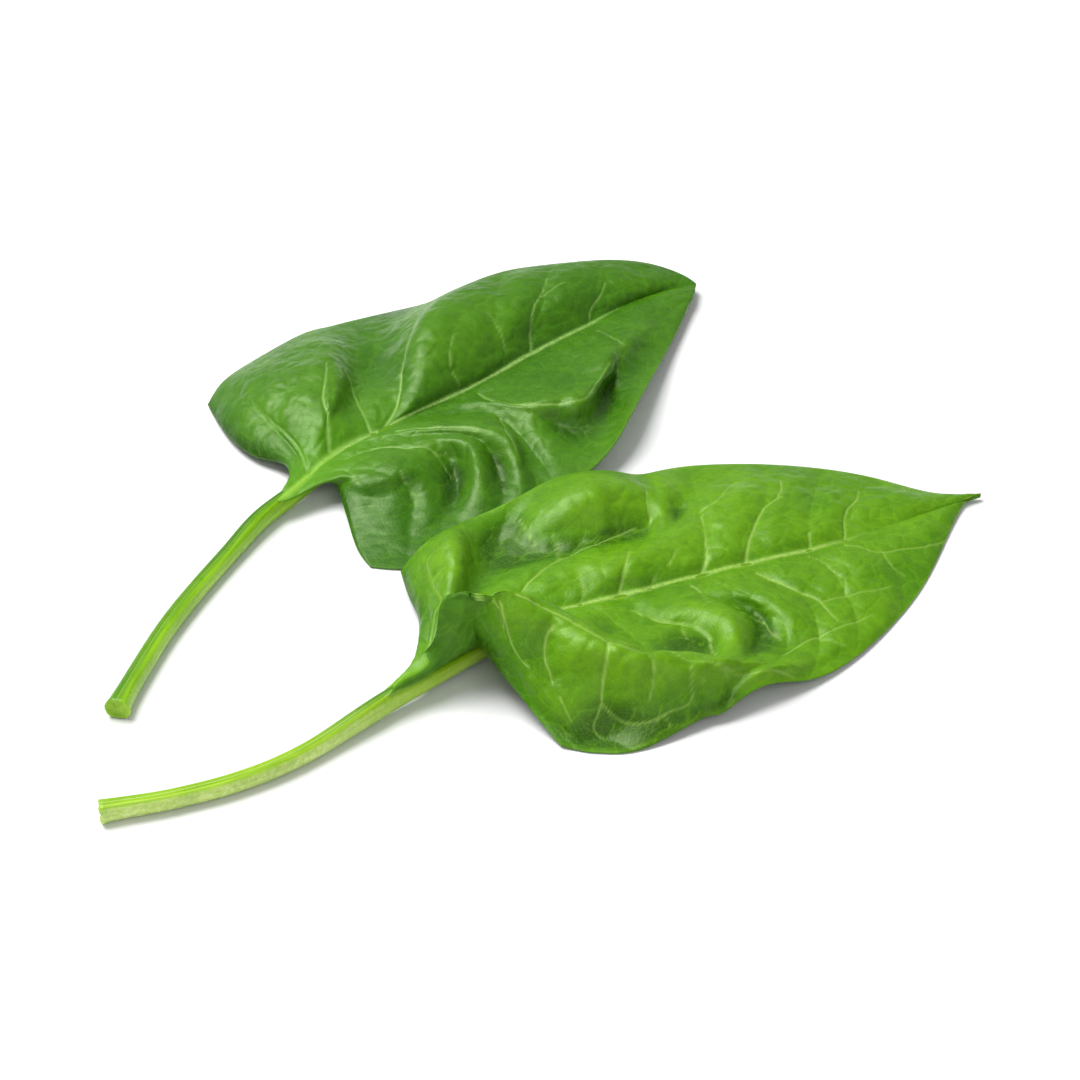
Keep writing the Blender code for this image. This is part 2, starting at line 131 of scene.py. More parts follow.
# Camera of the photograph
CAMERA_ELEVATION = math.radians(34.0)
CAMERA_DISTANCE = 0.9
CAMERA_LENS = 90.0
CAMERA_SENSOR = 36.0

# Where the foot of each blade stands and which way its leaf points
FRONT_FOOT = (-33.0, -81.5)
FRONT_HEADING = 29.1
REAR_FOOT = (-81.0, 27.5)
REAR_HEADING = 44.0
PLAN_CENTRE = (9.5, 17.0)

# Midribs along the upper side of the blade, and side ribs from midrib to margin
FRONT_SPINE = (
    (-24, -7.2, 8.2), (-14, -5, 8.2), (3, 0, 8.5), (19, 4, 8.5), (35, 7, 8.5), (52, 7.5, 8),
    (77, 5, 7.5), (97, 4, 7), (116, 2.5, 6.5), (139, 0.5, 5.5), (160, 1, 4), (187, 3, 2.5),
    (213, 4, 1.5),
)
FRONT_FAR_RIBS = (
    (-21, ((-18.5, -3.5, 7.8), (-13, 0, 7), (-7.5, 3.5, 6.3), (-1.5, 9.5, 6), (6.5, 22, 5),
           (11, 32, 3.5), (13, 41, 3), (17, 56, 4))),
    (-11, ((3, 11, 7), (11, 23, 8), (16, 36, 9), (21, 49, 11), (26, 58, 10))),
    (1, ((13, 15, 8), (19, 23, 12), (26, 34, 17), (31, 46, 17), (43, 65, 9))),
    (18, ((24, 19, 9), (38.5, 37.5, 6.5), (51, 53, 5), (58, 61, 8), (63, 66, 11))),
    (35, ((41.5, 18.5, 10.5), (56, 27, 10), (72, 36.5, 7), (77.5, 42, 12), (78, 50, 17),
          (85, 70, 12))),
    (52, ((60, 13, 9), (68, 19.5, 11), (83, 35.5, 6.5), (88.5, 41.5, 11.5), (93, 50.5, 15.5),
          (100, 65.5, 12))),
    (70, ((72, 8, 9), (78, 14, 12.5), (95.5, 31.5, 7), (101.5, 39.5, 9.5), (105, 48.5, 12),
          (108, 62, 10))),
    (77, ((86, 15, 11.5), (98, 27, 8.5), (107.5, 42.5, 10), (112.5, 61.5, 9))),
    (84, ((92.5, 13.5, 10.5), (102, 25, 9.5), (110, 37.5, 6.5), (112, 45, 10), (117.5, 61.5, 8.5))),
    (98, ((106, 11, 9.3), (114, 25, 10), (120, 39.5, 8.5), (130, 61, 7))),
    (118, ((122, 9, 8.3), (132, 20, 10), (143, 32, 9), (152, 52, 6))),
    (140, ((143, 7, 7.5), (153, 20, 7), (172, 41, 4))),
    (156, ((161, 11, 6), (171, 19, 5.5), (185, 29, 3))),
    (182, ((184, 7, 3.5), (197, 14, 2))),
    (200, ((206, 8, 1.5),)),
)
FRONT_NEAR_RIBS = (
    (-21, ((-18, -6.2, 9), (-10, -1.5, 10.5), (-3, 1, 13), (0, -1, 18.5), (1.5, -1.5, 26),
           (3, -0.5, 30.5), (5.5, 0.5, 32), (7, 1, 32.5), (8.5, 0, 32), (9.5, -1, 29),
           (11, -1.5, 22.5), (13.5, -4, 14.5), (17, -25, 7), (19, -38, 2.5), (20, -45, 1))),
    (-11, ((-4, -4.5, 10.5), (1, -3.5, 14), (5, -4, 21), (8.5, -4.5, 28), (10.5, -2.5, 32),
           (13.5, -3, 33), (15, -4.5, 32), (15.5, -7, 29), (16, -11, 22.5), (17, -15.5, 16.5),
           (19, -28, 8), (21, -39, 2.5), (23, -48, 0.3))),
    (1, ((8, -2.5, 12.5), (12.5, -4, 20), (15.5, -4.5, 27), (16.5, -5, 31.5), (19.5, -5, 32),
         (21, -7.5, 30.5), (20.5, -11, 27.5), (20, -15, 22), (20, -21.5, 16.5), (22, -33, 8),
         (24, -43, 1.5), (26, -51, 0))),
    (18, ((19, -3, 17), (19.5, -4.5, 25), (22.5, -4.5, 29.5), (25, -5, 30.5), (28.5, -7, 29.5),
          (31.5, -10, 27.5), (33, -17, 25), (29.5, -20.5, 20.5), (26, -27.5, 13.5), (25, -37, 7.5),
          (27, -45, 0.8), (29, -53, 0))),
    (35, ((40, 1, 9.5), (47, -2.5, 12), (48, -13.5, 14.5), (45, -25.5, 20), (43, -33, 23.5),
          (40.5, -35.5, 22), (39, -37.5, 16.5), (37, -42, 8.5), (35, -48, 0.8), (34, -56, 0))),
    (52, ((58, 2.5, 8.5), (60, -7, 8.5), (60.5, -17.5, 9.5), (57.5, -31, 12.5), (54.5, -38, 18),
          (53, -42, 20.5), (52, -45, 17.5), (51, -48, 12.5), (48, -51, 6), (44, -58, 0.8))),
    (70, ((73, -11.5, 7.5), (79, -16.5, 7), (82.5, -21.5, 6.5), (83.5, -26.5, 6), (81, -33.5, 7),
          (75.5, -42.5, 12), (72.5, -48, 16), (69, -50, 14), (66, -52, 9), (61, -57, 3))),
    (77, ((86, -11, 8.5), (90.5, -17, 9), (91.5, -23.5, 9.5), (89, -31, 9.5), (85.5, -37.5, 9),
          (80.5, -44.5, 11.5), (76, -49.5, 14.5), (73.5, -50.5, 12), (71, -53, 8), (66, -57, 3))),
    (84, ((93.5, -5.5, 7.5), (97, -11.5, 7), (101.5, -16, 5.5), (103.5, -22.5, 4), (101, -28.5, 3.2),
          (95, -35.5, 4), (87, -43.5, 8), (80, -50.5, 13), (77.5, -51, 10), (74, -54, 6),
          (70, -57.5, 3.5))),
    (98, ((100, -3.5, 7.5), (105.5, -15, 8), (108.5, -25, 7), (108, -33, 5), (103, -40.5, 4),
          (94.5, -48, 7), (88, -53.5, 10.5), (85, -54.5, 8), (84, -56, 6.5))),
    (118, ((117.5, -11.5, 6.5), (121.5, -21.5, 5.5), (119, -33.5, 4.5), (113, -44.5, 3.5),
           (101, -56, 3))),
    (140, ((139, -11, 5.5), (136, -25, 4.5), (131, -39, 3.5), (123, -51, 1))),
    (156, ((157, -10, 5), (158, -23, 2.5), (150, -38, 0.3))),
    (182, ((181, -5, 2.5), (177, -19, 0.3))),
    (200, ((206, 4, 1),)),
)
REAR_SPINE = (
    (-19, -6.6, 7.8), (-9, -4.5, 8), (9, 0.5, 8.5), (28, 3, 8.5), (48, 4, 8), (66, 4, 7.5),
    (86, 4.5, 7), (118, 7.5, 6.5), (145, 8, 6.5), (165, 10, 5.7), (186, 9, 4.5), (201, 5, 4),
)
REAR_FAR_RIBS = (
    (-16, ((-12.8, -3.2, 7.4), (-8, -0.3, 6.8), (-3.3, 3.2, 6.2), (1.2, 8.8, 5.6), (3, 16, 4.5),
           (1, 26, 3), (3, 44, 2), (13, 69, 0.6))),
    (-2, ((7, 11, 8), (11, 30, 10), (15, 49, 10), (23, 73, 4))),
    (2, ((7.5, 7, 8.5), (16, 28.5, 12.5), (23.5, 52, 12), (31, 74.5, 5))),
    (6, ((10, 6, 9), (19, 23, 14), (31, 49, 14), (41, 75, 6))),
    (15, ((18, 9, 12), (30, 19, 17), (45, 41, 17), (64, 76, 7))),
    (21, ((25.5, 11.5, 12), (44, 29.5, 14), (59.5, 53, 11.5), (74.5, 76, 5.5))),
    (27, ((28, 7, 10), (46, 27, 9), (65, 50, 8), (86, 76, 3.5))),
    (37, ((45, 14, 9), (66, 36, 7), (85, 54, 7), (107, 70, 3))),
    (44, ((53, 8, 10.5), (68, 25, 14), (85, 39, 16), (105, 52, 14))),
    (56, ((61.5, 7, 10.5), (74, 21, 17.5), (89, 35, 20), (111, 51, 15))),
    (72, ((77, 8, 11), (86, 19, 17.5), (102, 34, 20), (123, 51, 15))),
    (93, ((101, 11, 11), (109, 20, 16.5), (122, 33, 18), (142, 50, 14))),
    (122, ((121, 12.5, 9.3), (130, 18, 14), (146, 31, 16), (160, 43, 13))),
    (150, ((154, 12.5, 9), (162, 20, 13), (178, 33, 12))),
    (174, ((179, 12, 7.5), (186, 18, 8), (196, 24, 7))),
    (188, ((197, 11, 5), (201, 12, 5))),
)
REAR_NEAR_RIBS = (
    (-16, ((-12.5, -7.6, 7.3), (-5, -8.2, 7.2), (2, -8.3, 7), (5.5, -10.8, 6.5), (3, -17, 5),
           (-2, -26, 3), (-9, -39, 1), (-12, -49, 0.3))),
    (-2, ((5, -6, 9), (11, -10.5, 10), (15.5, -18, 11.5), (18.5, -26, 11.5), (21.5, -31, 8),
          (5, -49, 1.2), (-4, -58, 0.3))),
    (2, ((11, -3.5, 9), (18, -9.5, 10), (25.5, -18, 11.5), (31, -25.5, 10.5), (31, -32.5, 6.5),
         (12, -51, 1.5), (2, -60, 0.4))),
    (6, ((17, -2.5, 9.5), (28.5, -10.5, 11), (38.5, -20, 12), (42, -25, 10), (41.5, -30, 6),
         (38.5, -36.5, 3.5), (19, -53, 2), (8, -61, 0.5))),
    (15, ((28, -1.5, 9.5), (38.5, -12, 11), (46.5, -22.5, 12.5), (48.5, -31.5, 13), (44.5, -40, 12),
          (40.5, -47, 9), (32, -58, 2.5), (22, -64, 2))),
    (21, ((32, -2, 10), (43, -12.5, 11.5), (51.5, -23, 12), (54.5, -32, 10.5), (53.5, -37.5, 7.5),
          (49.5, -45, 5), (40, -58, 3.5), (30, -66, 2.5))),
    (27, ((36, -2.5, 10), (46.5, -13.5, 12.6), (55.5, -25, 13.8), (59.5, -35, 13.3),
          (58, -42.5, 10.5), (48, -58, 5), (37, -67, 3))),
    (37, ((46, -1, 9), (55, -9.5, 10.5), (66, -19.5, 11), (70, -29.5, 8.5), (64, -42, 6),
          (58, -56, 4), (49, -67, 4))),
    (44, ((52, 0, 8), (63, -6, 8), (72, -17, 9), (73, -30, 7), (68, -46, 5), (61, -61, 5),
          (55, -68, 5))),
    (56, ((63, 2, 7), (73, -8, 9), (77, -19, 10), (77, -34, 8), (71, -51, 6), (66, -66, 6))),
    (72, ((77, -2, 8), (80.5, -19.5, 11), (85.5, -30.5, 12.5), (87.5, -36, 7), (82.5, -51.5, 5.5),
          (77, -64, 7))),
    (93, ((96.5, -4, 8.5), (94.5, -27, 12), (95.5, -38, 13.5), (98.5, -39.5, 8), (95, -48.5, 6),
          (89, -61, 9))),
    (122, ((117, -7, 8), (112, -25.5, 12), (112.5, -32, 13), (116.5, -30, 6.5), (111.5, -40, 6.5),
           (105, -54, 12))),
    (150, ((143, -5.5, 8.5), (134.5, -20, 11.5), (134, -23.5, 9), (132.5, -29.5, 7),
           (131, -38.5, 9))),
    (174, ((167, -3, 6.5), (162, -13, 6), (160, -21, 5))),
    (188, ((190, 0, 4.5), (185, -6, 4))),
)

# Ribs that lie in a groove of the puffed blade
FRONT_FAR_GROOVES = (0, 1, 3, 4, 6, 9, 10, 11, 12, 15)
FRONT_NEAR_GROOVES = (0, 1, 2, 3, 4, 5, 6, 8, 9, 10, 11, 12, 15)
REAR_FAR_GROOVES = (0, 1, 4, 8, 11, 12, 13, 16)
REAR_NEAR_GROOVES = (0, 1, 3, 8, 12, 13, 16)

# Veins: half widths at both ends in millimetres, and a route of rib counts and shares of the way out
FRONT_FAR_VEINS = (
    (0.5, 0.2, ((6, 0), (6, 0.05), (5.96, 0.13), (5.92, 0.21), (5.8, 0.32))),
    (0.5, 0.2, ((9.08, 0), (9.04, 0.1), (8.96, 0.21), (8.92, 0.34), (8.96, 0.48))),
    (0.5, 0.25, ((9.88, 0), (9.92, 0.09), (9.96, 0.2), (10, 0.33), (10.04, 0.44), (10.16, 0.52),
                 (10.28, 0.55))),
    (0.25, 0.15, ((10.2, 0.55), (10.24, 0.66), (10.24, 0.76))),
    (0.35, 0.15, ((10.96, 0), (11, 0.03), (11, 0.13))),
    (0.4, 0.2, ((11.84, 0), (11.92, 0.09), (11.96, 0.23), (12, 0.37), (12.04, 0.5), (11.92, 0.7))),
    (0.22, 0.12, ((7.52, 0), (7.68, 0.05), (7.76, 0.11))),
    (0.22, 0.12, ((8.08, 0.11), (8.16, 0.16), (8.2, 0.22))),
    (0.25, 0.12, ((5.24, 0), (5.12, 0.08), (4.92, 0.16), (4.76, 0.22))),
    (0.4, 0.25, ((4, 0.16), (4, 0.23), (3.96, 0.33), (3.96, 0.47), (4.48, 0.49), (5.12, 0.54),
                 (5.6, 0.59))),
    (0.3, 0.15, ((6.04, 0.61), (5.96, 0.68), (5.96, 0.75), (6.12, 0.84))),
    (0.25, 0.15, ((3.32, 0.83), (3.4, 0.75), (3.44, 0.68), (3.48, 0.63))),
    (0.3, 0.15, ((1.48, 0.46), (1.36, 0.53), (1.24, 0.64), (1.24, 0.73), (1.28, 0.79), (1.56, 0.74),
                 (1.84, 0.66))),
    (0.25, 0.15, ((1.24, 0.64), (1.44, 0.62), (1.68, 0.59))),
    (0.35, 0.2, ((1.16, 0.2), (1.2, 0.29), (1.16, 0.39), (1.28, 0.45), (1.48, 0.45))),
    (0.25, 0.12, ((3.96, 0.43), (3.72, 0.57), (3.64, 0.66))),
    (0.25, 0.12, ((8.96, 0.52), (9.28, 0.56), (9.4, 0.63), (9.6, 0.76))),
)
FRONT_NEAR_VEINS = (
    (0.35, 0.2, ((5.92, 0.11), (6, 0.21), (6.04, 0.32), (6.08, 0.39), (5.96, 0.47), (6.08, 0.63))),
    (0.3, 0.15, ((8.2, 0.09), (8, 0.15), (7.4, 0.24), (7.2, 0.31))),
    (0.5, 0.3, ((9.92, 0.1), (10.08, 0.19), (10.12, 0.33), (10.32, 0.44), (10.44, 0.56),
                (10.56, 0.64))),
    (0.25, 0.12, ((10.32, 0.44), (10.96, 0.49), (11.4, 0.57), (11.76, 0.63))),
    (0.15, 0.1, ((10.96, 0.49), (11.04, 0.44), (11.12, 0.37))),
    (0.3, 0.15, ((7.96, 0.29), (7.68, 0.36), (8.16, 0.4), (8.4, 0.47), (8.76, 0.56))),
    (0.35, 0.15, ((11.72, 0.06), (11.92, 0.17), (12.12, 0.31), (12.44, 0.41), (12.96, 0.69),
                  (13.28, 1))),
    (0.2, 0.1, ((12.12, 0.31), (12.04, 0.41), (12.04, 0.53), (12.12, 0.63))),
    (0.3, 0.15, ((10.84, 0.05), (10.96, 0.13), (11, 0.22), (11.08, 0.33))),
    (0.3, 0.15, ((9, 0.69), (9.4, 0.65), (9.92, 0.66), (10.44, 0.69), (10.96, 0.72), (11.28, 0.76))),
    (0.2, 0.1, ((9.92, 0.66), (10.28, 0.75), (10.68, 0.85))),
    (0.2, 0.1, ((6.08, 0.29), (5.76, 0.38), (5.68, 0.44))),
    (0.4, 0.15, ((1.2, 0.38), (1.45, 0.41), (1.7, 0.44), (1.75, 0.47), (1.65, 0.5))),
    (0.45, 0.2, ((1.84, 0.4), (1.8, 0.44), (1.84, 0.5), (1.8, 0.56), (1.92, 0.6), (2.16, 0.63))),
    (0.45, 0.2, ((3, 0.5), (2.92, 0.53), (2.92, 0.58), (2.92, 0.62), (3, 0.66), (3, 0.69))),
    (0.2, 0.12, ((3.08, 0.75), (3.08, 0.8), (3.08, 0.84))),
    (0.55, 0.35, ((4, 0.56), (4.04, 0.63), (4, 0.68), (3.96, 0.73), (3.92, 0.78))),
    (0.3, 0.15, ((3.92, 0.78), (3.8, 0.83), (3.64, 0.87), (3.72, 0.91))),
    (0.3, 0.12, ((3.92, 0.79), (4.04, 0.82), (4.36, 0.87), (4.76, 0.9), (5.12, 0.91), (5.4, 0.91),
                 (5.68, 0.91), (5.72, 0.88))),
    (0.35, 0.2, ((4.96, 0.67), (5, 0.72), (4.96, 0.76), (4.92, 0.79), (4.88, 0.83))),
    (0.35, 0.2, ((5.52, 0.76), (5.6, 0.82), (5.68, 0.87))),
    (0.4, 0.25, ((2.6, 0.37), (2.8, 0.4), (3, 0.43), (3.24, 0.47), (3.6, 0.51), (4, 0.56), (4.64, 0.59),
                 (5.2, 0.59), (5.52, 0.73), (6.64, 0.8), (8.76, 0.91), (9.68, 0.98))),
    (0.2, 0.1, ((5.92, 0.78), (6.6, 0.81), (7.28, 0.85))),
    (0.2, 0.1, ((5.08, 0.92), (5.2, 0.91), (5.36, 0.97))),
)
REAR_FAR_VEINS = (
    (0.6, 0.25, ((7.4, 0), (7.6, 0.07), (7.76, 0.17), (7.88, 0.29), (8, 0.41), (8.12, 0.5),
                 (8.16, 0.61), (8, 0.78))),
    (0.45, 0.2, ((11.84, 0.03), (11.96, 0.13), (11.84, 0.29), (11.92, 0.48), (12, 0.7))),
    (0.25, 0.12, ((11.24, 0.13), (11.12, 0.25), (11, 0.35), (10.84, 0.45))),
    (0.6, 0.25, ((4.04, 0.03), (4.28, 0.09), (3.76, 0.25), (3.76, 0.38), (4.08, 0.55))),
    (0.4, 0.2, ((6.76, 0.01), (6.56, 0.14), (5.72, 0.37), (5.08, 0.5))),
    (0.45, 0.15, ((1.6, 0.05), (1.72, 0.17), (1.52, 0.28), (1.24, 0.41), (1.16, 0.63))),
    (0.3, 0.15, ((12.88, 0.01), (12.92, 0.16), (13.08, 0.29), (13.16, 0.45))),
    (0.25, 0.12, ((10.16, 0.05), (9.96, 0.16), (9.96, 0.27), (10.08, 0.37))),
    (0.2, 0.1, ((11.92, 0.46), (12.12, 0.51), (12.36, 0.55))),
)
REAR_NEAR_VEINS = (
    (0.4, 0.2, ((10.16, 0.1), (9.84, 0.29), (9.76, 0.41), (10.08, 0.49), (10.8, 0.56), (11.16, 0.59),
                (11.72, 0.54), (12.12, 0.52), (12.44, 0.53))),
    (0.3, 0.15, ((8.04, 0.43), (6.68, 0.52), (6.2, 0.59), (6.2, 0.64))),
    (0.4, 0.2, ((2.56, 0.13), (3.16, 0.18), (3.2, 0.26), (3, 0.36), (2.84, 0.42), (2.68, 0.46),
                (2.68, 0.51), (2.8, 0.56))),
    (0.2, 0.12, ((2.84, 0.42), (2.76, 0.45), (3.12, 0.47))),
    (0.35, 0.15, ((1.04, 0.19), (0.48, 0.34), (0.36, 0.44), (0.36, 0.56))),
    (0.35, 0.2, ((5.96, 0.15), (6.04, 0.24), (5.88, 0.36), (5.84, 0.47))),
    (0.25, 0.12, ((12.88, 0.12), (12.96, 0.24), (13.04, 0.4), (13.12, 0.61))),
    (0.25, 0.12, ((1.32, 0.42), (1.04, 0.47), (1, 0.54), (1.08, 0.61))),
)

# Stalks from the cut end to the foot of the blade: along, out, height of the top, width, depth
FRONT_STALK = (
    (-112.5, -9.2, 6.4, 6.5, 6.4), (-101, -12.2, 6.1, 6.1, 6.1), (-94, -13.8, 6.0, 6.0, 6.0),
    (-86.5, -14.9, 5.9, 5.9, 5.9), (-79, -15.8, 5.9, 5.9, 5.9), (-71, -16.1, 5.9, 5.8, 5.9),
    (-62.8, -15.8, 5.9, 5.8, 5.9), (-54.2, -14.7, 6.0, 5.8, 5.9), (-45, -12.6, 6.2, 5.7, 6.0),
    (-35, -9.8, 6.4, 5.7, 6.0), (-24, -6.8, 6.8, 5.8, 6.0), (-14, -4, 7.0, 5.8, 6.0),
)
REAR_STALK = (
    (-120, -56.5, 7.1, 7.4, 7.1), (-112, -51, 6.7, 6.7, 6.7), (-101.8, -44.4, 6.5, 6.4, 6.5),
    (-86.4, -34.9, 6.4, 6.3, 6.4), (-72.2, -27.4, 6.4, 6.2, 6.4), (-55, -19.4, 6.4, 6.1, 6.3),
    (-39.7, -12.8, 6.4, 6.0, 6.2), (-26, -7.4, 6.5, 5.9, 6.0), (-13, -4, 6.3, 5.6, 5.8),
)
MIDRIB_SHARES = (0.0, 0.1, 0.25, 0.45, 0.65, 0.8, 0.88)
MIDRIB_WIDTHS = (5.8, 5.0, 4.2, 3.4, 2.4, 1.7, 1.2)
MIDRIB_DEPTHS = (6.0, 5.6, 5.0, 4.0, 2.6, 1.5, 1.0)
MIDRIB_STEPS = 14

# Linear colours of the blades: deep, fresh, vein and foot
FRONT_GREENS = ((0.044, 0.178, 0.001), (0.128, 0.315, 0.003), (0.36, 0.56, 0.11), (0.33, 0.55, 0.08))
REAR_GREENS = ((0.024, 0.115, 0.001), (0.064, 0.195, 0.003), (0.28, 0.48, 0.11), (0.24, 0.47, 0.04))
# Underside green, its own duller green darkened as painted shade for the underside seen in the shade under
# the fold
UNDER_GREEN_AND_SHADE = (0.045, 0.165, 0.003)
# Linear colours of the stalks: green, pale, dark (for dark patches and painted shade on the far side), and
# how strong the white streaks are
FRONT_STALK_GREENS = ((0.22, 0.44, 0.003), (0.36, 0.58, 0.012), (0.045, 0.18, 0.002), 0.95)
REAR_STALK_GREENS = ((0.18, 0.43, 0.002), (0.31, 0.58, 0.006), (0.04, 0.16, 0.003), 0.25)
STREAK_WHITE = (0.70, 0.82, 0.34)
CUT_GREEN = (0.33, 0.58, 0.02)
BLADE_SHADER = {"Specular IOR Level": 0.42, "Specular Tint": (0.8, 1.0, 0.55, 1.0),
                "Subsurface Weight": 0.15, "Subsurface Radius": (0.5, 1.0, 0.1),
                "Subsurface Scale": 0.001}
STALK_SHADER = {"Coat Weight": 0.08, "Coat Roughness": 0.2,
                "Specular IOR Level": 0.4, "Specular Tint": (0.9, 1.0, 0.55, 1.0),
                "Subsurface Weight": 0.35, "Subsurface Radius": (0.7, 1.0, 0.25),
                "Subsurface Scale": 0.003}
FLOOR_WHITE = (0.9, 0.9, 0.9, 1.0)
WALL_STRENGTH = 0.28
NET_STRENGTH = 0.12
VEIN_STRENGTH = 0.75
BLADE_ROUGHNESS = 0.37
NET_SCALE = 620.0

# Each leaf: name, midrib, far half, near half, midrib's end, stalk, foot, heading, greens, stalk's phase
LEAVES = (
    ("front", FRONT_SPINE, (FRONT_FAR_RIBS, FRONT_FAR_GROOVES, FRONT_FAR_VEINS),
     (FRONT_NEAR_RIBS, FRONT_NEAR_GROOVES, FRONT_NEAR_VEINS), 0.8, FRONT_STALK,
     FRONT_FOOT, FRONT_HEADING, FRONT_GREENS, FRONT_STALK_GREENS, 1.7),
    ("rear", REAR_SPINE, (REAR_FAR_RIBS, REAR_FAR_GROOVES, REAR_FAR_VEINS),
     (REAR_NEAR_RIBS, REAR_NEAR_GROOVES, REAR_NEAR_VEINS), 0.86, REAR_STALK,
     REAR_FOOT, REAR_HEADING, REAR_GREENS, REAR_STALK_GREENS, 6.1),
)

# Studio lights: name, place, size and watts
LIGHTS = (
    ("key_light", (-0.52, 0.28, 1.1), (0.9, 0.9), 22.0),
    ("front_light", (0.45, -1.2, 0.9), (1.6, 1.0), 6.0),
)
WORLD_STRENGTH = 0.3
FLOOR_REACH = 6.0
FLOOR_HEIGHT = -0.0004


def smooth_curve(points, knots, at):
    """Natural cubic curve through points that stand at knots, read at the given places."""
    points = np.asarray(points, float)
    gaps = np.diff(knots)
    count = len(knots)
    if count == 2:
        share = ((at - knots[0]) / gaps[0])[:, None]
        return points[0] * (1 - share) + points[1] * share
    matrix = np.zeros((count, count))
    right = np.zeros(points.shape)
    matrix[0, 0] = 1.0
    matrix[-1, -1] = 1.0
    for i in range(1, count - 1):
        matrix[i, i - 1:i + 2] = gaps[i - 1], 2 * (gaps[i - 1] + gaps[i]), gaps[i]
        slope_before = (points[i] - points[i - 1]) / gaps[i - 1]
        slope_after = (points[i + 1] - points[i]) / gaps[i]
        right[i] = 6 * (slope_after - slope_before)
    bend = np.linalg.solve(matrix, right)
    k = np.clip(np.searchsorted(knots, at, side="right") - 1, 0, count - 2)
    after = (knots[k + 1] - at)[:, None]
    before = (at - knots[k])[:, None]
    gap = gaps[k][:, None]
    curved = (bend[k] * after ** 3 + bend[k + 1] * before ** 3) / (6 * gap)
    return (curved + (points[k] / gap - bend[k] * gap / 6) * after
            + (points[k + 1] / gap - bend[k + 1] * gap / 6) * before)


def running_sum(steps):
    """Sums of steps from 0 on."""
    return np.concatenate([[0.0], np.cumsum(steps)])


def evenly_along(points, shares):
    """Smooth curve through points, read at even shares of its length."""
    points = np.asarray(points, float)
    knots = running_sum(np.linalg.norm(np.diff(points, axis=0), axis=1) ** 0.5)
    fine = np.linspace(0, knots[-1], CURVE_SAMPLES)
    curve = smooth_curve(points, knots, fine)
    length = running_sum(np.linalg.norm(np.diff(curve, axis=0), axis=1))
    return smooth_curve(points, knots, np.interp(shares * length[-1], length, fine))


def spine_at(spine, stations):
    """Points of a midrib at stations along the leaf."""
    spine = np.asarray(spine, float)
    return smooth_curve(spine, spine[:, 0], np.asarray(stations, float))


def half_surface(spine, ribs, places, shares):
    """Grid of points of one half: places count the ribs from the foot, shares run to the margin."""
    stations = np.array([float(station) for station, _ in ribs] + [float(spine[-1][0])])
    roots = spine_at(spine, stations)
    net = [evenly_along([root, *points], shares) for root, (_, points) in zip(roots, ribs)]
    net = np.array(net + [np.repeat(roots[-1:], len(shares), axis=0)])
    gap = np.linalg.norm(np.diff(net, axis=0), axis=2)
    knots = running_sum((gap[:, 0] + gap[:, len(shares) // 2] + gap[:, -1]) ** 0.5)
    counts = np.arange(len(stations))
    at = np.interp(places, counts, knots)
    grid = np.stack([smooth_curve(net[:, j], knots, at) for j in range(len(shares))], axis=1)
    true_spine = spine_at(spine, np.interp(places, counts, stations))
    return grid + (true_spine - grid[:, 0])[:, None] * (1 - shares[None, :, None]) ** 2


def upward_normals(grid):
    """Normals of a grid of points whose first axis runs along the leaf and second to its far side."""
    normals = np.cross(np.gradient(grid, axis=0), np.gradient(grid, axis=1))
    size = np.linalg.norm(normals, axis=2, keepdims=True)
    return normals / np.maximum(size, 1e-9)


def quilt_height(grid, places, shares, grooves):
    """How far one half puffs up between the ribs that carry a vein."""
    grooves = np.array(grooves, float)
    which = np.clip(np.searchsorted(grooves, places, side="right") - 1, 0, len(grooves) - 2)
    part = (places - grooves[which]) / (grooves[which + 1] - grooves[which])
    spread = np.zeros(grid.shape[:2])
    for number in range(len(grooves) - 1):
        inside = np.where(which == number)[0]
        spread[inside] = np.linalg.norm(grid[inside[-1]] - grid[inside[0]], axis=1)
    height = np.minimum(QUILT_SHARE * spread, QUILT_LIMIT) * (4 * part * (1 - part))[:, None]
    return height * np.sin(math.pi * shares)[None, :] ** QUILT_POWER


def column_places(spine, far_ribs, near_ribs):
    """Rib counts at which the mesh has a column, closer where the ribs' ends lie closer."""
    places = [0.0]
    far_ends = [points[-1] for _, points in far_ribs] + [spine[-1]]
    near_ends = [points[-1] for _, points in near_ribs] + [spine[-1]]
    for i in range(len(far_ribs)):
        reach = max(math.dist(far_ends[i], far_ends[i + 1]), math.dist(near_ends[i], near_ends[i + 1]))
        count = max(2, round(reach / COLUMN_WIDTH))
        places += [i + (step + 1) / count for step in range(count)]
    return np.array(places)


def on_grid(grid, places, place, share):
    """Point of one half's grid at a rib count and a share of the way out."""
    i = float(np.interp(place, places, np.arange(len(places))))
    j = share * (grid.shape[1] - 1)
    i0, j0 = min(int(i), grid.shape[0] - 2), min(int(j), grid.shape[1] - 2)
    s, t = i - i0, j - j0
    return ((1 - s) * (1 - t) * grid[i0, j0] + s * (1 - t) * grid[i0 + 1, j0]
            + (1 - s) * t * grid[i0, j0 + 1] + s * t * grid[i0 + 1, j0 + 1])


def trace(grid, places, start_width, end_width, route):
    """Points of one vein on one half, each with its half width, from its route."""
    turns = [on_grid(grid, places, *point) for point in route]
    legs = [math.dist(a, b) for a, b in zip(turns, turns[1:])]
    knots = running_sum(np.maximum(legs, LEAST_VEIN_LEG))
    count = max(3, int(knots[-1] / VEIN_SAMPLE))
    at = np.linspace(0, knots[-1], count)
    line = smooth_curve(np.array(route, float), knots, at)
    widths = np.linspace(start_width, end_width, count)
    last = float(places[-1])
    return [(on_grid(grid, places, min(max(u, 0.0), last), min(max(v, 0.0), 1.0)), w)
            for (u, v), w in zip(line, widths)]


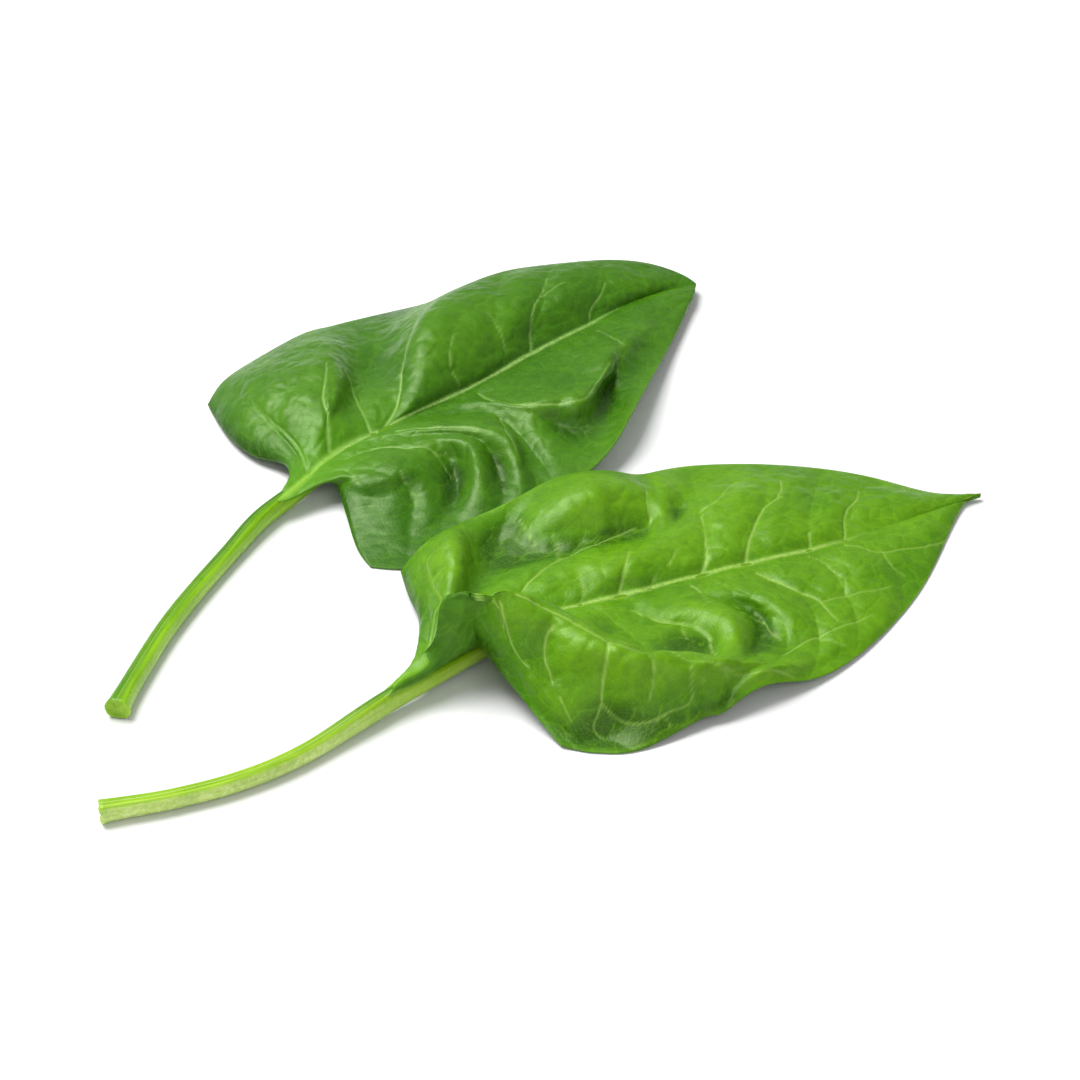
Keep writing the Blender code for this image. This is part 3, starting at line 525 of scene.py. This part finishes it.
def nearest_vein(points, veins):
    """Distance to the nearest vein and that vein's half width, for each point."""
    samples = [sample for vein in veins for sample in vein]
    tree = kdtree.KDTree(len(samples))
    for number, (place, _) in enumerate(samples):
        tree.insert(place, number)
    tree.balance()
    found = [tree.find(point) for point in points]
    distance = np.array([item[2] for item in found])
    width = np.array([samples[item[1]][1] for item in found])
    return distance, width


def noise_field(points, scale, octaves=3):
    """Smooth seeded noise at points, about -1 to 1."""
    places = [Vector(point) / scale + NOISE_SHIFT for point in points]
    return np.array([noise.fractal(place, 1.0, 2.0, octaves) for place in places])


def averaged(field, reaches):
    """Field of a grid averaged over a window of so many columns and rows to each side."""
    for axis, reach in enumerate(reaches):
        for _ in range(2):
            wide = [(reach, reach) if number == axis else (0, 0) for number in range(field.ndim)]
            sums = np.cumsum(np.pad(field, wide, mode="edge"), axis=axis)
            span = 2 * reach
            last, first = (sums[span:], sums[:-span]) if axis == 0 else (sums[:, span:], sums[:, :-span])
            field = (last - first) / span
    return field


def hollow_field(grid):
    """How far each point of a grid lies below the mean of its surroundings, in millimetres."""
    return averaged(grid[:, :, 2], HOLLOW_SHADE_REACHES) - grid[:, :, 2]


def steady_normals(grid):
    """Normals of a grid averaged round each point, and how little they turn there, from 0 to 1."""
    mean = averaged(upward_normals(grid), NORMAL_REACHES)
    size = np.linalg.norm(mean, axis=2, keepdims=True)
    steady = np.clip((size[:, :, 0] - STEADY_LEAST) / STEADY_SPAN, 0, 1)
    return mean / np.maximum(size, 1e-9), steady


def cell_field(points, size):
    """Distance to the wall of crooked cells, in millimetres: the fine net of the skin."""
    walls = []
    for point in points:
        place = Vector(point) / size + NOISE_SHIFT
        place += CELL_CROOK * noise.noise_vector(place * CELL_CROOK_SCALE)
        near = noise.voronoi(place)[0]
        walls.append((near[1] - near[0]) * size)
    return np.array(walls)


class Blade:
    """Upper and under side of one leaf's blade as grids, with what its material needs at each point."""

    def __init__(self, spine, far, near, rib_end):
        self.places = column_places(spine, far[0], near[0])
        shares = np.linspace(0, 1, ROWS + 1)
        halves, puffs, veins = [], [], []
        for ribs, grooves, routes in (far, near):
            grid = half_surface(spine, ribs, self.places, shares)
            halves.append(grid)
            puffs.append(quilt_height(grid, self.places, shares, grooves))
            veins += [trace(grid, self.places, *route) for route in routes]
        self.grid = np.concatenate([halves[1][:, :0:-1], halves[0]], axis=1)
        self.puff = np.concatenate([puffs[1][:, :0:-1], puffs[0]], axis=1)
        side = np.linspace(-1, 1, 2 * ROWS + 1)[None, :]
        self.edge = np.maximum(np.abs(side), 1 - self.places[:, None] / BASAL_REACH)
        # Band along the near edge by the foot that gets painted shade in the colour
        near_foot = np.clip(1 - self.places[:, None] / CURL_SHADE_REACH, 0, 1)
        self.curl_shade = near_foot * np.clip(-CURL_SHADE_SLOPE * side, 0, 1)
        self.measure(spine, veins, rib_end)
        self.shape()

    def measure(self, spine, veins, rib_end):
        """Distances along the sheet in millimetres, and to the midrib, the veins and the fine net."""
        grid = self.grid
        shape = grid.shape[:2]
        flat = grid.reshape(-1, 3)
        steps = np.linalg.norm(np.diff(grid[:, ROWS], axis=0), axis=1)
        self.lengthwise = np.repeat(running_sum(steps)[:, None], shape[1], axis=1)
        steps = np.linalg.norm(np.diff(grid, axis=1), axis=2)
        out = np.hstack([np.zeros((len(grid), 1)), np.cumsum(steps, axis=1)])
        self.outward = out - out[:, ROWS:ROWS + 1]
        distance, width = nearest_vein(flat, veins)
        self.to_vein, self.vein_width = distance.reshape(shape), width.reshape(shape)
        self.to_wall = cell_field(flat, CELL_SIZE).reshape(shape)
        station = (grid[:, ROWS, 0] - spine[0][0]) / (spine[-1][0] - spine[0][0])
        self.station = np.repeat(np.clip(station, 0, 1)[:, None], shape[1], axis=1)
        self.rib_width = np.interp(self.station, MIDRIB_PLACES, MIDRIB_HALF_WIDTHS)
        self.rib_fade = np.clip((rib_end - self.station) / MIDRIB_FADE, 0, 1)
        self.noise = noise_field(flat, RIPPLE_SIZE).reshape(shape)
        self.pucker = noise_field(flat, PUCKER_SIZE, 2).reshape(shape)
        # Depth below the surroundings, which sets painted shade in hollows and painted light on ridges
        self.hollow_shade = hollow_field(grid)

    def shape(self):
        """Relief on both sides: puffed skin between sunken veins on top, standing veins beneath."""
        to_rib = np.abs(self.outward)
        self.rib = np.exp(-(to_rib / self.rib_width) ** 2) * self.rib_fade
        strength = (self.vein_width / FULL_VEIN) ** 0.5
        drawn = np.maximum(self.vein_width, LEAST_VEIN)
        self.vein = np.exp(-(self.to_vein / drawn) ** 2) * np.minimum(strength, 1.0)
        self.wall = np.exp(-(self.to_wall / WALL_WIDTH) ** 2)
        groove = np.exp(-(self.to_vein / (GROOVE_REACH * drawn)) ** 2)
        valley = np.exp(-(to_rib / RIB_VALLEY_REACH) ** 2) * self.rib_fade
        steady = steady_normals(self.grid)[1][:, :, None]
        sheet = self.grid * steady + averaged(self.grid, ROUNDING_REACHES) * (1 - steady)
        normals, steady = steady_normals(sheet)
        calm = np.clip(to_rib / RIPPLE_START, 0, 1) * (1 - self.edge ** EDGE_CALM_POWER) * steady
        blister = 1 - np.exp(-(self.to_wall / BLISTER_REACH) ** 2)
        swell = 1 - np.exp(-(self.to_vein / SWELL_REACH) ** 2)
        height = self.puff * steady + calm * (BLISTER_HEIGHT * blister + RIPPLE_HEIGHT * self.noise)
        height += calm * PUCKER_HEIGHT * self.pucker
        height += (SWELL_HEIGHT * swell - SWELL_HEIGHT) * (1 - self.edge ** EDGE_CALM_POWER) * strength
        height += RIB_RIDGE * self.rib - RIB_VALLEY * valley
        height -= VEIN_DEPTH * groove * strength * (1 - self.edge ** EDGE_THIN_POWER)
        top = sheet + normals * height[:, :, None]
        thickness = EDGE_THICKNESS + (BLADE_THICKNESS - EDGE_THICKNESS) * (1 - self.edge ** EDGE_THIN_POWER)
        thickness = thickness + UNDER_VEIN * groove * strength
        bottom = top - normals * thickness[:, :, None]
        bottom[:, :, 2] = np.maximum(bottom[:, :, 2], 0.0)
        top[:, :, 2] = np.maximum(top[:, :, 2], bottom[:, :, 2] + LEAST_THICKNESS)
        self.top, self.bottom = top, bottom


def mesh_object(name, vertices, faces, masks, sheet):
    """Smooth mesh from points in millimetres, with masks as attributes and places on the sheet as UVs."""
    mesh = bpy.data.meshes.new(name)
    mesh.from_pydata((vertices * MM).tolist(), [], faces)
    mesh.validate()
    mesh.shade_smooth()
    for key, values in masks:
        layer = mesh.attributes.new(key, "FLOAT", "POINT")
        layer.data.foreach_set("value", values.astype(np.float32))
    corners = np.empty(len(mesh.loops), np.int32)
    mesh.loops.foreach_get("vertex_index", corners)
    uv = mesh.uv_layers.new(name="sheet")
    uv.data.foreach_set("uv", sheet[corners].astype(np.float32).ravel())
    item = bpy.data.objects.new(name, mesh)
    bpy.context.scene.collection.objects.link(item)
    return item


def sheet_object(name, blade):
    """Closed mesh of a blade's two sides, which meet in one point at the tip."""
    columns, rows = blade.top.shape[:2]
    last, middle = columns - 1, rows // 2
    keep = np.ones((columns, rows), bool)
    keep[last] = False
    keep[last, middle] = True
    number = -np.ones((2, columns, rows), int)
    count = int(keep.sum())
    number[0][keep] = np.arange(count)
    number[1][keep] = np.arange(count) + count
    number[:, last, :] = number[:, last, middle][:, None]
    a, b = number[:, :-1, :-1], number[:, 1:, :-1]
    c, d = number[:, 1:, 1:], number[:, :-1, 1:]
    quads = [np.stack([a[0], b[0], c[0], d[0]], axis=-1)[:-1].reshape(-1, 4),
             np.stack([d[1], c[1], b[1], a[1]], axis=-1)[:-1].reshape(-1, 4)]
    tip_top = np.stack([a[0, -1], b[0, -1], d[0, -1]], axis=-1)
    tip_bottom = np.stack([d[1, -1], b[1, -1], a[1, -1]], axis=-1)
    rim = [(i, 0) for i in range(last, 0, -1)] + [(0, j) for j in range(rows)]
    rim += [(i, rows - 1) for i in range(1, last + 1)]
    rim_faces = [(number[0, i, j], number[0, k, m], number[1, k, m], number[1, i, j])
                 for (i, j), (k, m) in zip(rim, rim[1:])]
    faces = [tuple(face) for face in np.concatenate(quads).tolist()] + rim_faces
    faces += [tuple(face) for face in tip_top.tolist() + tip_bottom.tolist()]
    masks = [("upper", np.repeat([1.0, 0.0], count))]
    # The hollow and curl masks carry painted shade and painted light to the material
    for key, field in (("rib", blade.rib), ("vein", blade.vein), ("wall", blade.wall),
                       ("station", blade.station), ("margin", blade.edge), ("hollow_shade", blade.hollow_shade),
                       ("curl_shade", blade.curl_shade), ("outward", np.abs(blade.outward))):
        masks.append((key, np.tile(field[keep], 2)))
    sheet = np.stack([blade.lengthwise, blade.outward], axis=-1) / UV_SPAN + UV_SHIFT
    vertices = np.concatenate([blade.top[keep], blade.bottom[keep]])
    return mesh_object(name, vertices, faces, masks, np.tile(sheet[keep], (2, 1)))


def stalk_rings(spine, stalk):
    """Rings of a stalk: centre line, height of the top, width, depth, and how far it is the midrib."""
    start, end = float(MIDRIB_START), float(spine[-1][0])
    shares = np.linspace(0, MIDRIB_SHARES[-1], MIDRIB_STEPS)
    line = spine_at(spine, start + shares * (end - start))
    width = np.interp(shares, MIDRIB_SHARES, MIDRIB_WIDTHS)
    depth = np.interp(shares, MIDRIB_SHARES, MIDRIB_DEPTHS)
    height = line[:, 2] - BLADE_THICKNESS + MIDRIB_SINK
    under = np.column_stack([line[:, :2], height, width, np.minimum(depth, height), np.ones(len(line))])
    free = np.array(stalk, float)
    rise = np.interp(free[:, 0], FOOT_RISE_PLACES, FOOT_RISES)
    free[:, 2] += rise
    free[:, 4] += rise
    free = np.column_stack([free, np.zeros(len(free))])
    return np.vstack([free, under])


def stalk_skin(rings, along, heading, turns, phase):
    """Points of a stalk's skin, ring after ring, with fine long ridges and a channel on top."""
    points = []
    for (x, y, height, width, depth, under), place, (dx, dy) in zip(rings, along, heading):
        under = min(max(under, 0.0), 1.0)
        bulge = 1 + BULGE * noise.noise(Vector((place / BULGE_LENGTH, phase, 0.5)))
        flare = 1 + CUT_FLARE * math.exp(-place / CUT_FLARE_LENGTH)
        sway = RIDGE_SWAY * math.sin(place / RIDGE_SWAY_LENGTH)
        for turn in turns:
            spot = Vector((RIDGE_NOISE_TURN * math.cos(turn), RIDGE_NOISE_TURN * math.sin(turn),
                           place / RIDGE_NOISE_LENGTH + phase))
            ridge = math.sin(RIDGES * turn + sway) + RIDGE_NOISE * noise.noise(spot)
            ridge *= RIDGE_HEIGHT * (1 - RIDGE_FADE * under)
            from_top = (turn + math.pi) % (2 * math.pi) - math.pi
            channel = CHANNEL_DEPTH * (1 - under) * math.exp(-(from_top / CHANNEL_REACH) ** 2)
            out = -(0.5 * width * bulge * flare + ridge) * math.sin(turn)
            up = (0.5 * depth * bulge * flare + ridge) * (math.cos(turn) - 1) - channel
            points.append([x - dy * out, y + dx * out, max(height + up, 0.0)])
    return np.array(points)


def cut_end(rim, ahead, turns, phase):
    """Points of a stalk's cut end: rings that shrink within its rim, and last its middle."""
    centre = rim.mean(axis=0)
    points = []
    for share, dip in CUT_RINGS:
        for corner, turn in zip(rim, turns):
            reach = CUT_NOISE_TURN * share
            spot = Vector((reach * math.cos(turn), reach * math.sin(turn), phase + 3))
            pit = dip + CUT_NOISE * noise.noise(spot)
            points.append(centre + (corner - centre) * share + ahead * pit)
    points.append(centre + ahead * CUT_MIDDLE)
    return np.array(points)


def stalk_faces(count):
    """Faces of a stalk of so many rings, of the rings of its cut end and of its thin end."""
    rings = np.arange((count + len(CUT_RINGS)) * STALK_SIDES).reshape(-1, STALK_SIDES).tolist()
    pairs = list(zip(range(STALK_SIDES), [*range(1, STALK_SIDES), 0]))
    faces = [(ring[a], after[a], after[b], ring[b])
             for ring, after in zip(rings[:count], rings[1:count]) for a, b in pairs]
    inward = [rings[0], *rings[count:]]
    faces += [(outer[a], outer[b], inner[b], inner[a])
              for outer, inner in zip(inward, inward[1:]) for a, b in pairs]
    middle = rings[-1][-1] + 1
    faces += [(inward[-1][a], inward[-1][b], middle) for a, b in pairs]
    return faces + [tuple(rings[count - 1])]


def stalk_object(name, spine, stalk, phase):
    """Closed stalk from its ragged cut end to where it thins out as the midrib."""
    keys = stalk_rings(spine, stalk)
    knots = running_sum(np.linalg.norm(np.diff(keys[:, :2], axis=0), axis=1))
    count = round(knots[-1] / STALK_STEP) + 1
    along = np.linspace(0, knots[-1], count)
    rings = smooth_curve(keys, knots, along)
    heading = np.gradient(rings[:, :2], axis=0)
    heading /= np.linalg.norm(heading, axis=1, keepdims=True)
    turns = 2 * math.pi * np.arange(STALK_SIDES) / STALK_SIDES
    skin = stalk_skin(rings, along, heading, turns, phase)
    ragged = [noise.noise(Vector((3 * math.cos(turn), 3 * math.sin(turn), phase))) for turn in turns]
    skin[:STALK_SIDES, :2] += CUT_RAGGED * np.array(ragged)[:, None] * heading[0]
    ahead = np.array([*heading[0], 0.0])
    vertices = np.vstack([skin, cut_end(skin[:STALK_SIDES], ahead, turns, phase)])
    vertices[:, 2] = np.maximum(vertices[:, 2], 0.0)
    extra = len(vertices) - len(skin)
    around = np.append(np.tile(np.arange(STALK_SIDES) / STALK_SIDES, count + len(CUT_RINGS)), 0.0)
    lengthwise = np.concatenate([np.repeat(along, STALK_SIDES), np.zeros(extra)])
    cut = np.repeat([0.0, 1.0], [len(skin), extra])
    masks = [("around", around), ("along", lengthwise), ("cut", cut)]
    sheet = np.column_stack([lengthwise, around * STALK_GIRTH]) / UV_SPAN
    return mesh_object(name, vertices, stalk_faces(count), masks, sheet)


class Nodes:
    """Short hand for building one material's nodes."""

    def __init__(self, name):
        self.material = bpy.data.materials.new(name)
        self.material.use_nodes = True
        self.tree = self.material.node_tree
        self.shader = self.tree.nodes["Principled BSDF"]

    def add(self, kind, **settings):
        node = self.tree.nodes.new(kind)
        for key, value in settings.items():
            setattr(node, key, value)
        return node

    def link(self, output, target):
        self.tree.links.new(output, target)

    def feed(self, socket, value):
        if isinstance(value, bpy.types.NodeSocket):
            self.link(value, socket)
        else:
            socket.default_value = value

    def mask(self, key):
        return self.add("ShaderNodeAttribute", attribute_name=key).outputs["Fac"]

    def maths(self, operation, first, second=0.0):
        node = self.add("ShaderNodeMath", operation=operation)
        self.feed(node.inputs[0], first)
        self.feed(node.inputs[1], second)
        return node.outputs[0]

    def ramp(self, value, low, high, start=0.0, end=1.0):
        node = self.add("ShaderNodeMapRange", interpolation_type="SMOOTHSTEP")
        self.feed(node.inputs["Value"], value)
        for key, number in (("From Min", low), ("From Max", high), ("To Min", start), ("To Max", end)):
            node.inputs[key].default_value = number
        return node.outputs["Result"]

    def mix(self, share, first, second, blend="MIX"):
        node = self.add("ShaderNodeMix", data_type="RGBA", blend_type=blend)
        self.feed(node.inputs[0], share)
        for socket, value in ((node.inputs[6], first), (node.inputs[7], second)):
            self.feed(socket, (*value, 1.0) if isinstance(value, tuple) else value)
        return node.outputs[2]

    def times(self, first, second):
        return self.maths("MULTIPLY", first, second)

    def noise(self, scale, detail=3.0, roughness=0.5, distortion=0.0, place=None):
        node = self.add("ShaderNodeTexNoise")
        if place is None:
            place = self.add("ShaderNodeTexCoord").outputs["Object"]
        self.link(place, node.inputs["Vector"])
        for key, number in (("Scale", scale), ("Detail", detail), ("Roughness", roughness),
                            ("Distortion", distortion)):
            node.inputs[key].default_value = number
        return node.outputs["Fac"]

    def bump(self, height, strength, distance):
        node = self.add("ShaderNodeBump")
        node.inputs["Strength"].default_value = strength
        node.inputs["Distance"].default_value = distance
        self.link(height, node.inputs["Height"])
        self.link(node.outputs["Normal"], self.shader.inputs["Normal"])

    def constants(self, numbers):
        for socket, number in numbers.items():
            self.shader.inputs[socket].default_value = number


def scaled(colour, factor):
    """Colour made brighter or darker."""
    return tuple(factor * channel for channel in colour)


def blade_material(name, deep, fresh, vein, foot):
    """Leaf skin: two greens in soft patches with painted light on ridges and painted shade in hollows, pale
    veins, a fine net of cells and a waxy sheen.
    """
    nodes = Nodes(name)
    light = scaled(fresh, 1.5)
    upper, station, outward = nodes.mask("upper"), nodes.mask("station"), nodes.mask("outward")
    # Fresh green in random patches and as painted light on ridges; deep green as painted shade in hollows
    # and on the curled edge near the foot
    patches = nodes.times(nodes.ramp(nodes.noise(30.0, 4.0, 0.55), 0.38, 0.62), 0.45)
    ridges = nodes.times(nodes.ramp(nodes.mask("hollow_shade"), 2.5, -2.0), 0.6)
    patches = nodes.maths("MINIMUM", nodes.maths("ADD", patches, ridges), 1.0)
    # Painted shade on the curled near edge by the foot
    patches = nodes.times(patches, nodes.ramp(nodes.mask("curl_shade"), 0.0, 1.0, 1.0, 0.1))
    colour = nodes.mix(patches, deep, fresh)
    # Painted shade: the deepest hollows go darker than the deep green
    pit = nodes.ramp(nodes.mask("hollow_shade"), 0.6, 2.4, 0.0, 0.85)
    colour = nodes.mix(pit, colour, scaled(deep, 0.4))
    mottle = nodes.ramp(nodes.noise(260.0, 3.0, 0.6), 0.4, 0.7, 0.0, 0.3)
    colour = nodes.mix(mottle, colour, scaled(deep, 0.75))
    # Finest net, margin, duller underside whose green is darkened with painted shade, cell walls and veins
    cells = nodes.add("ShaderNodeTexVoronoi", feature="DISTANCE_TO_EDGE")
    cells.inputs["Scale"].default_value = NET_SCALE
    nodes.link(nodes.add("ShaderNodeTexCoord").outputs["Object"], cells.inputs["Vector"])
    net = nodes.ramp(cells.outputs["Distance"], 0.0, 0.12, 1.0, 0.0)
    colour = nodes.mix(nodes.times(net, NET_STRENGTH), colour, light)
    colour = nodes.mix(nodes.ramp(nodes.mask("margin"), 0.95, 1.0, 0.0, 0.25), colour, scaled(fresh, 1.3))
    under = nodes.maths("SUBTRACT", 1.0, upper)
    # Underside: its own duller green, darkened as painted shade
    colour = nodes.mix(nodes.times(under, 0.75), colour, UNDER_GREEN_AND_SHADE)
    colour = nodes.mix(nodes.times(nodes.mask("wall"), WALL_STRENGTH), colour, light)
    colour = nodes.mix(nodes.times(nodes.mask("vein"), VEIN_STRENGTH), colour, vein)
    # Lighter near the foot, yellower along the midrib there, and the midrib itself
    basal = nodes.times(nodes.ramp(station, 0.08, 0.36, 1.0, 0.0), upper)
    basal = nodes.times(basal, nodes.ramp(outward, 4.0, 32.0, 0.7, 0.0))
    colour = nodes.mix(basal, colour, light)
    near_foot = nodes.ramp(station, 0.06, 0.26, 1.0, 0.0)
    yellow = nodes.times(near_foot, nodes.ramp(outward, 0.8, 4.5, 0.45, 0.0))
    colour = nodes.mix(yellow, colour, foot)
    grain = nodes.ramp(nodes.noise(900.0, 3.0, 0.6), 0.3, 0.6, 0.45, 0.95)
    colour = nodes.mix(nodes.times(nodes.mask("rib"), grain), colour, nodes.mix(near_foot, vein, foot))
    nodes.link(colour, nodes.shader.inputs["Base Color"])
    gloss = nodes.ramp(nodes.noise(420.0, 2.0), 0.3, 0.7, BLADE_ROUGHNESS - 0.05, BLADE_ROUGHNESS + 0.08)
    gloss = nodes.maths("ADD", gloss, nodes.times(under, 0.15))
    nodes.link(gloss, nodes.shader.inputs["Roughness"])
    nodes.bump(nodes.maths("ADD", nodes.times(nodes.noise(900.0, 2.0), 0.5), nodes.times(net, -0.6)),
               0.35, 0.00012)
    nodes.constants(BLADE_SHADER)
    return nodes.material


def stalk_material(name, green, pale, dark, streak):
    """Juicy stalk: long fibres, whitish streaks on its near side, a far side darkened with painted shade
    and the blade's dark green wing, and a fresh cut end.
    """
    nodes = Nodes(name)
    along = nodes.mask("along")
    turn = nodes.times(nodes.mask("around"), 2 * math.pi)
    sine = nodes.maths("SINE", turn)
    place = nodes.add("ShaderNodeCombineXYZ")
    nodes.link(nodes.times(along, 0.02), place.inputs[0])
    nodes.link(nodes.times(nodes.maths("COSINE", turn), 2.2), place.inputs[1])
    nodes.link(nodes.times(sine, 2.2), place.inputs[2])
    fibres = nodes.noise(2.4, 5.0, 0.6, 0.15, place.outputs[0])
    colour = nodes.mix(nodes.ramp(fibres, 0.34, 0.66), green, pale)
    # Whitish speckles on the near side, fewer towards the blade
    speckle = nodes.ramp(nodes.noise(700.0, 4.0, 0.65), 0.42, 0.66, 0.5, 0.95)
    near = nodes.maths("SINE", nodes.maths("SUBTRACT", turn, 0.55))
    near = nodes.times(nodes.ramp(near, -0.05, 0.55, 0.0, streak), speckle)
    near = nodes.times(near, nodes.ramp(along, 65.0, 105.0, 1.0, 0.25))
    colour = nodes.mix(near, colour, STREAK_WHITE)
    # Painted shade on the far side, stronger towards the blade where the blade's dark green wing runs; dark
    # patches and the cut end
    shade_and_wing = nodes.ramp(along, 55.0, 100.0, 0.9 - 0.8 * streak, 0.95)
    colour = nodes.mix(nodes.times(shade_and_wing, nodes.ramp(sine, 0.75, -0.1)), colour, dark)
    colour = nodes.mix(nodes.ramp(nodes.noise(60.0, 2.0), 0.4, 0.7, 0.0, 0.2), colour, dark)
    colour = nodes.mix(nodes.times(nodes.mask("cut"), 0.6), colour, CUT_GREEN)
    nodes.link(colour, nodes.shader.inputs["Base Color"])
    gloss = nodes.ramp(nodes.noise(300.0, 2.0), 0.3, 0.7, 0.26, 0.42)
    nodes.link(gloss, nodes.shader.inputs["Roughness"])
    nodes.bump(fibres, 0.4, 0.00018)
    nodes.constants(STALK_SHADER)
    return nodes.material


def place_leaf(piece, foot, heading):
    """Move a leaf's mesh from its own frame to the part's."""
    turn = Matrix.Rotation(math.radians(heading), 4, "Z")
    move = Matrix.Translation(((foot[0] - PLAN_CENTRE[0]) * MM, (foot[1] - PLAN_CENTRE[1]) * MM, 0.0))
    piece.data.transform(move @ turn)


def stand_in(piece, node, material, foot, heading):
    """Put a piece in the place of a node of the part, with its material."""
    place_leaf(piece, foot, heading)
    piece.data.materials.append(material)
    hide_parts(node)
    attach(piece, "root")


def build_leaves():
    """Blade and stalk of both leaves, each in the place of its own node."""
    for name, spine, far, near, rib_end, stalk, foot, heading, greens, stalk_greens, phase in LEAVES:
        skin = sheet_object(name + "_leaf_skin", Blade(spine, far, near, rib_end))
        stand_in(skin, name + "_blade", blade_material(name + "_leaf_green", *greens), foot, heading)
        stem = stalk_object(name + "_leaf_stalk", spine, stalk, phase)
        green = stalk_material(name + "_stalk_green", *stalk_greens)
        stand_in(stem, name + "_stalk", green, foot, heading)


def build_floor():
    """Pale floor just below the leaves."""
    far = FLOOR_REACH
    corners = [(x, y, FLOOR_HEIGHT) for x, y in ((-far, -far), (far, -far), (far, far), (-far, far))]
    mesh = bpy.data.meshes.new("studio_floor")
    mesh.from_pydata(corners, [], [(0, 1, 2, 3)])
    floor = bpy.data.objects.new("studio_floor", mesh)
    bpy.context.scene.collection.objects.link(floor)
    paint = Nodes("studio_floor_white")
    paint.constants({"Base Color": FLOOR_WHITE, "Roughness": 0.9})
    floor.data.materials.append(paint.material)


def build_lights():
    """Soft lights that point at the part, and white air all round."""
    for name, place, size, power in LIGHTS:
        lamp = bpy.data.lights.new(name, "AREA")
        lamp.shape = "RECTANGLE"
        lamp.size, lamp.size_y = size
        lamp.energy = power
        holder = bpy.data.objects.new(name, lamp)
        holder.location = place
        holder.rotation_euler = (-Vector(place)).to_track_quat("-Z", "Y").to_euler()
        bpy.context.scene.collection.objects.link(holder)
    world = bpy.data.worlds.new("studio_air")
    world.use_nodes = True
    world.node_tree.nodes["Background"].inputs["Color"].default_value = (1.0, 1.0, 1.0, 1.0)
    world.node_tree.nodes["Background"].inputs["Strength"].default_value = WORLD_STRENGTH
    bpy.context.scene.world = world
    bpy.context.scene.view_settings.view_transform = "Standard"


def build_camera():
    """Camera of the photograph."""
    lens = bpy.data.cameras.new("photo_camera")
    lens.lens = CAMERA_LENS
    lens.sensor_width = CAMERA_SENSOR
    camera = bpy.data.objects.new("photo_camera", lens)
    camera.location = (-PLAN_CENTRE[0] * MM,
                       -PLAN_CENTRE[1] * MM - CAMERA_DISTANCE * math.cos(CAMERA_ELEVATION),
                       CAMERA_DISTANCE * math.sin(CAMERA_ELEVATION))
    camera.rotation_euler = (math.radians(90) - CAMERA_ELEVATION, 0.0, 0.0)
    bpy.context.scene.collection.objects.link(camera)
    bpy.context.scene.camera = camera


build_leaves()
build_floor()
build_lights()
build_camera()
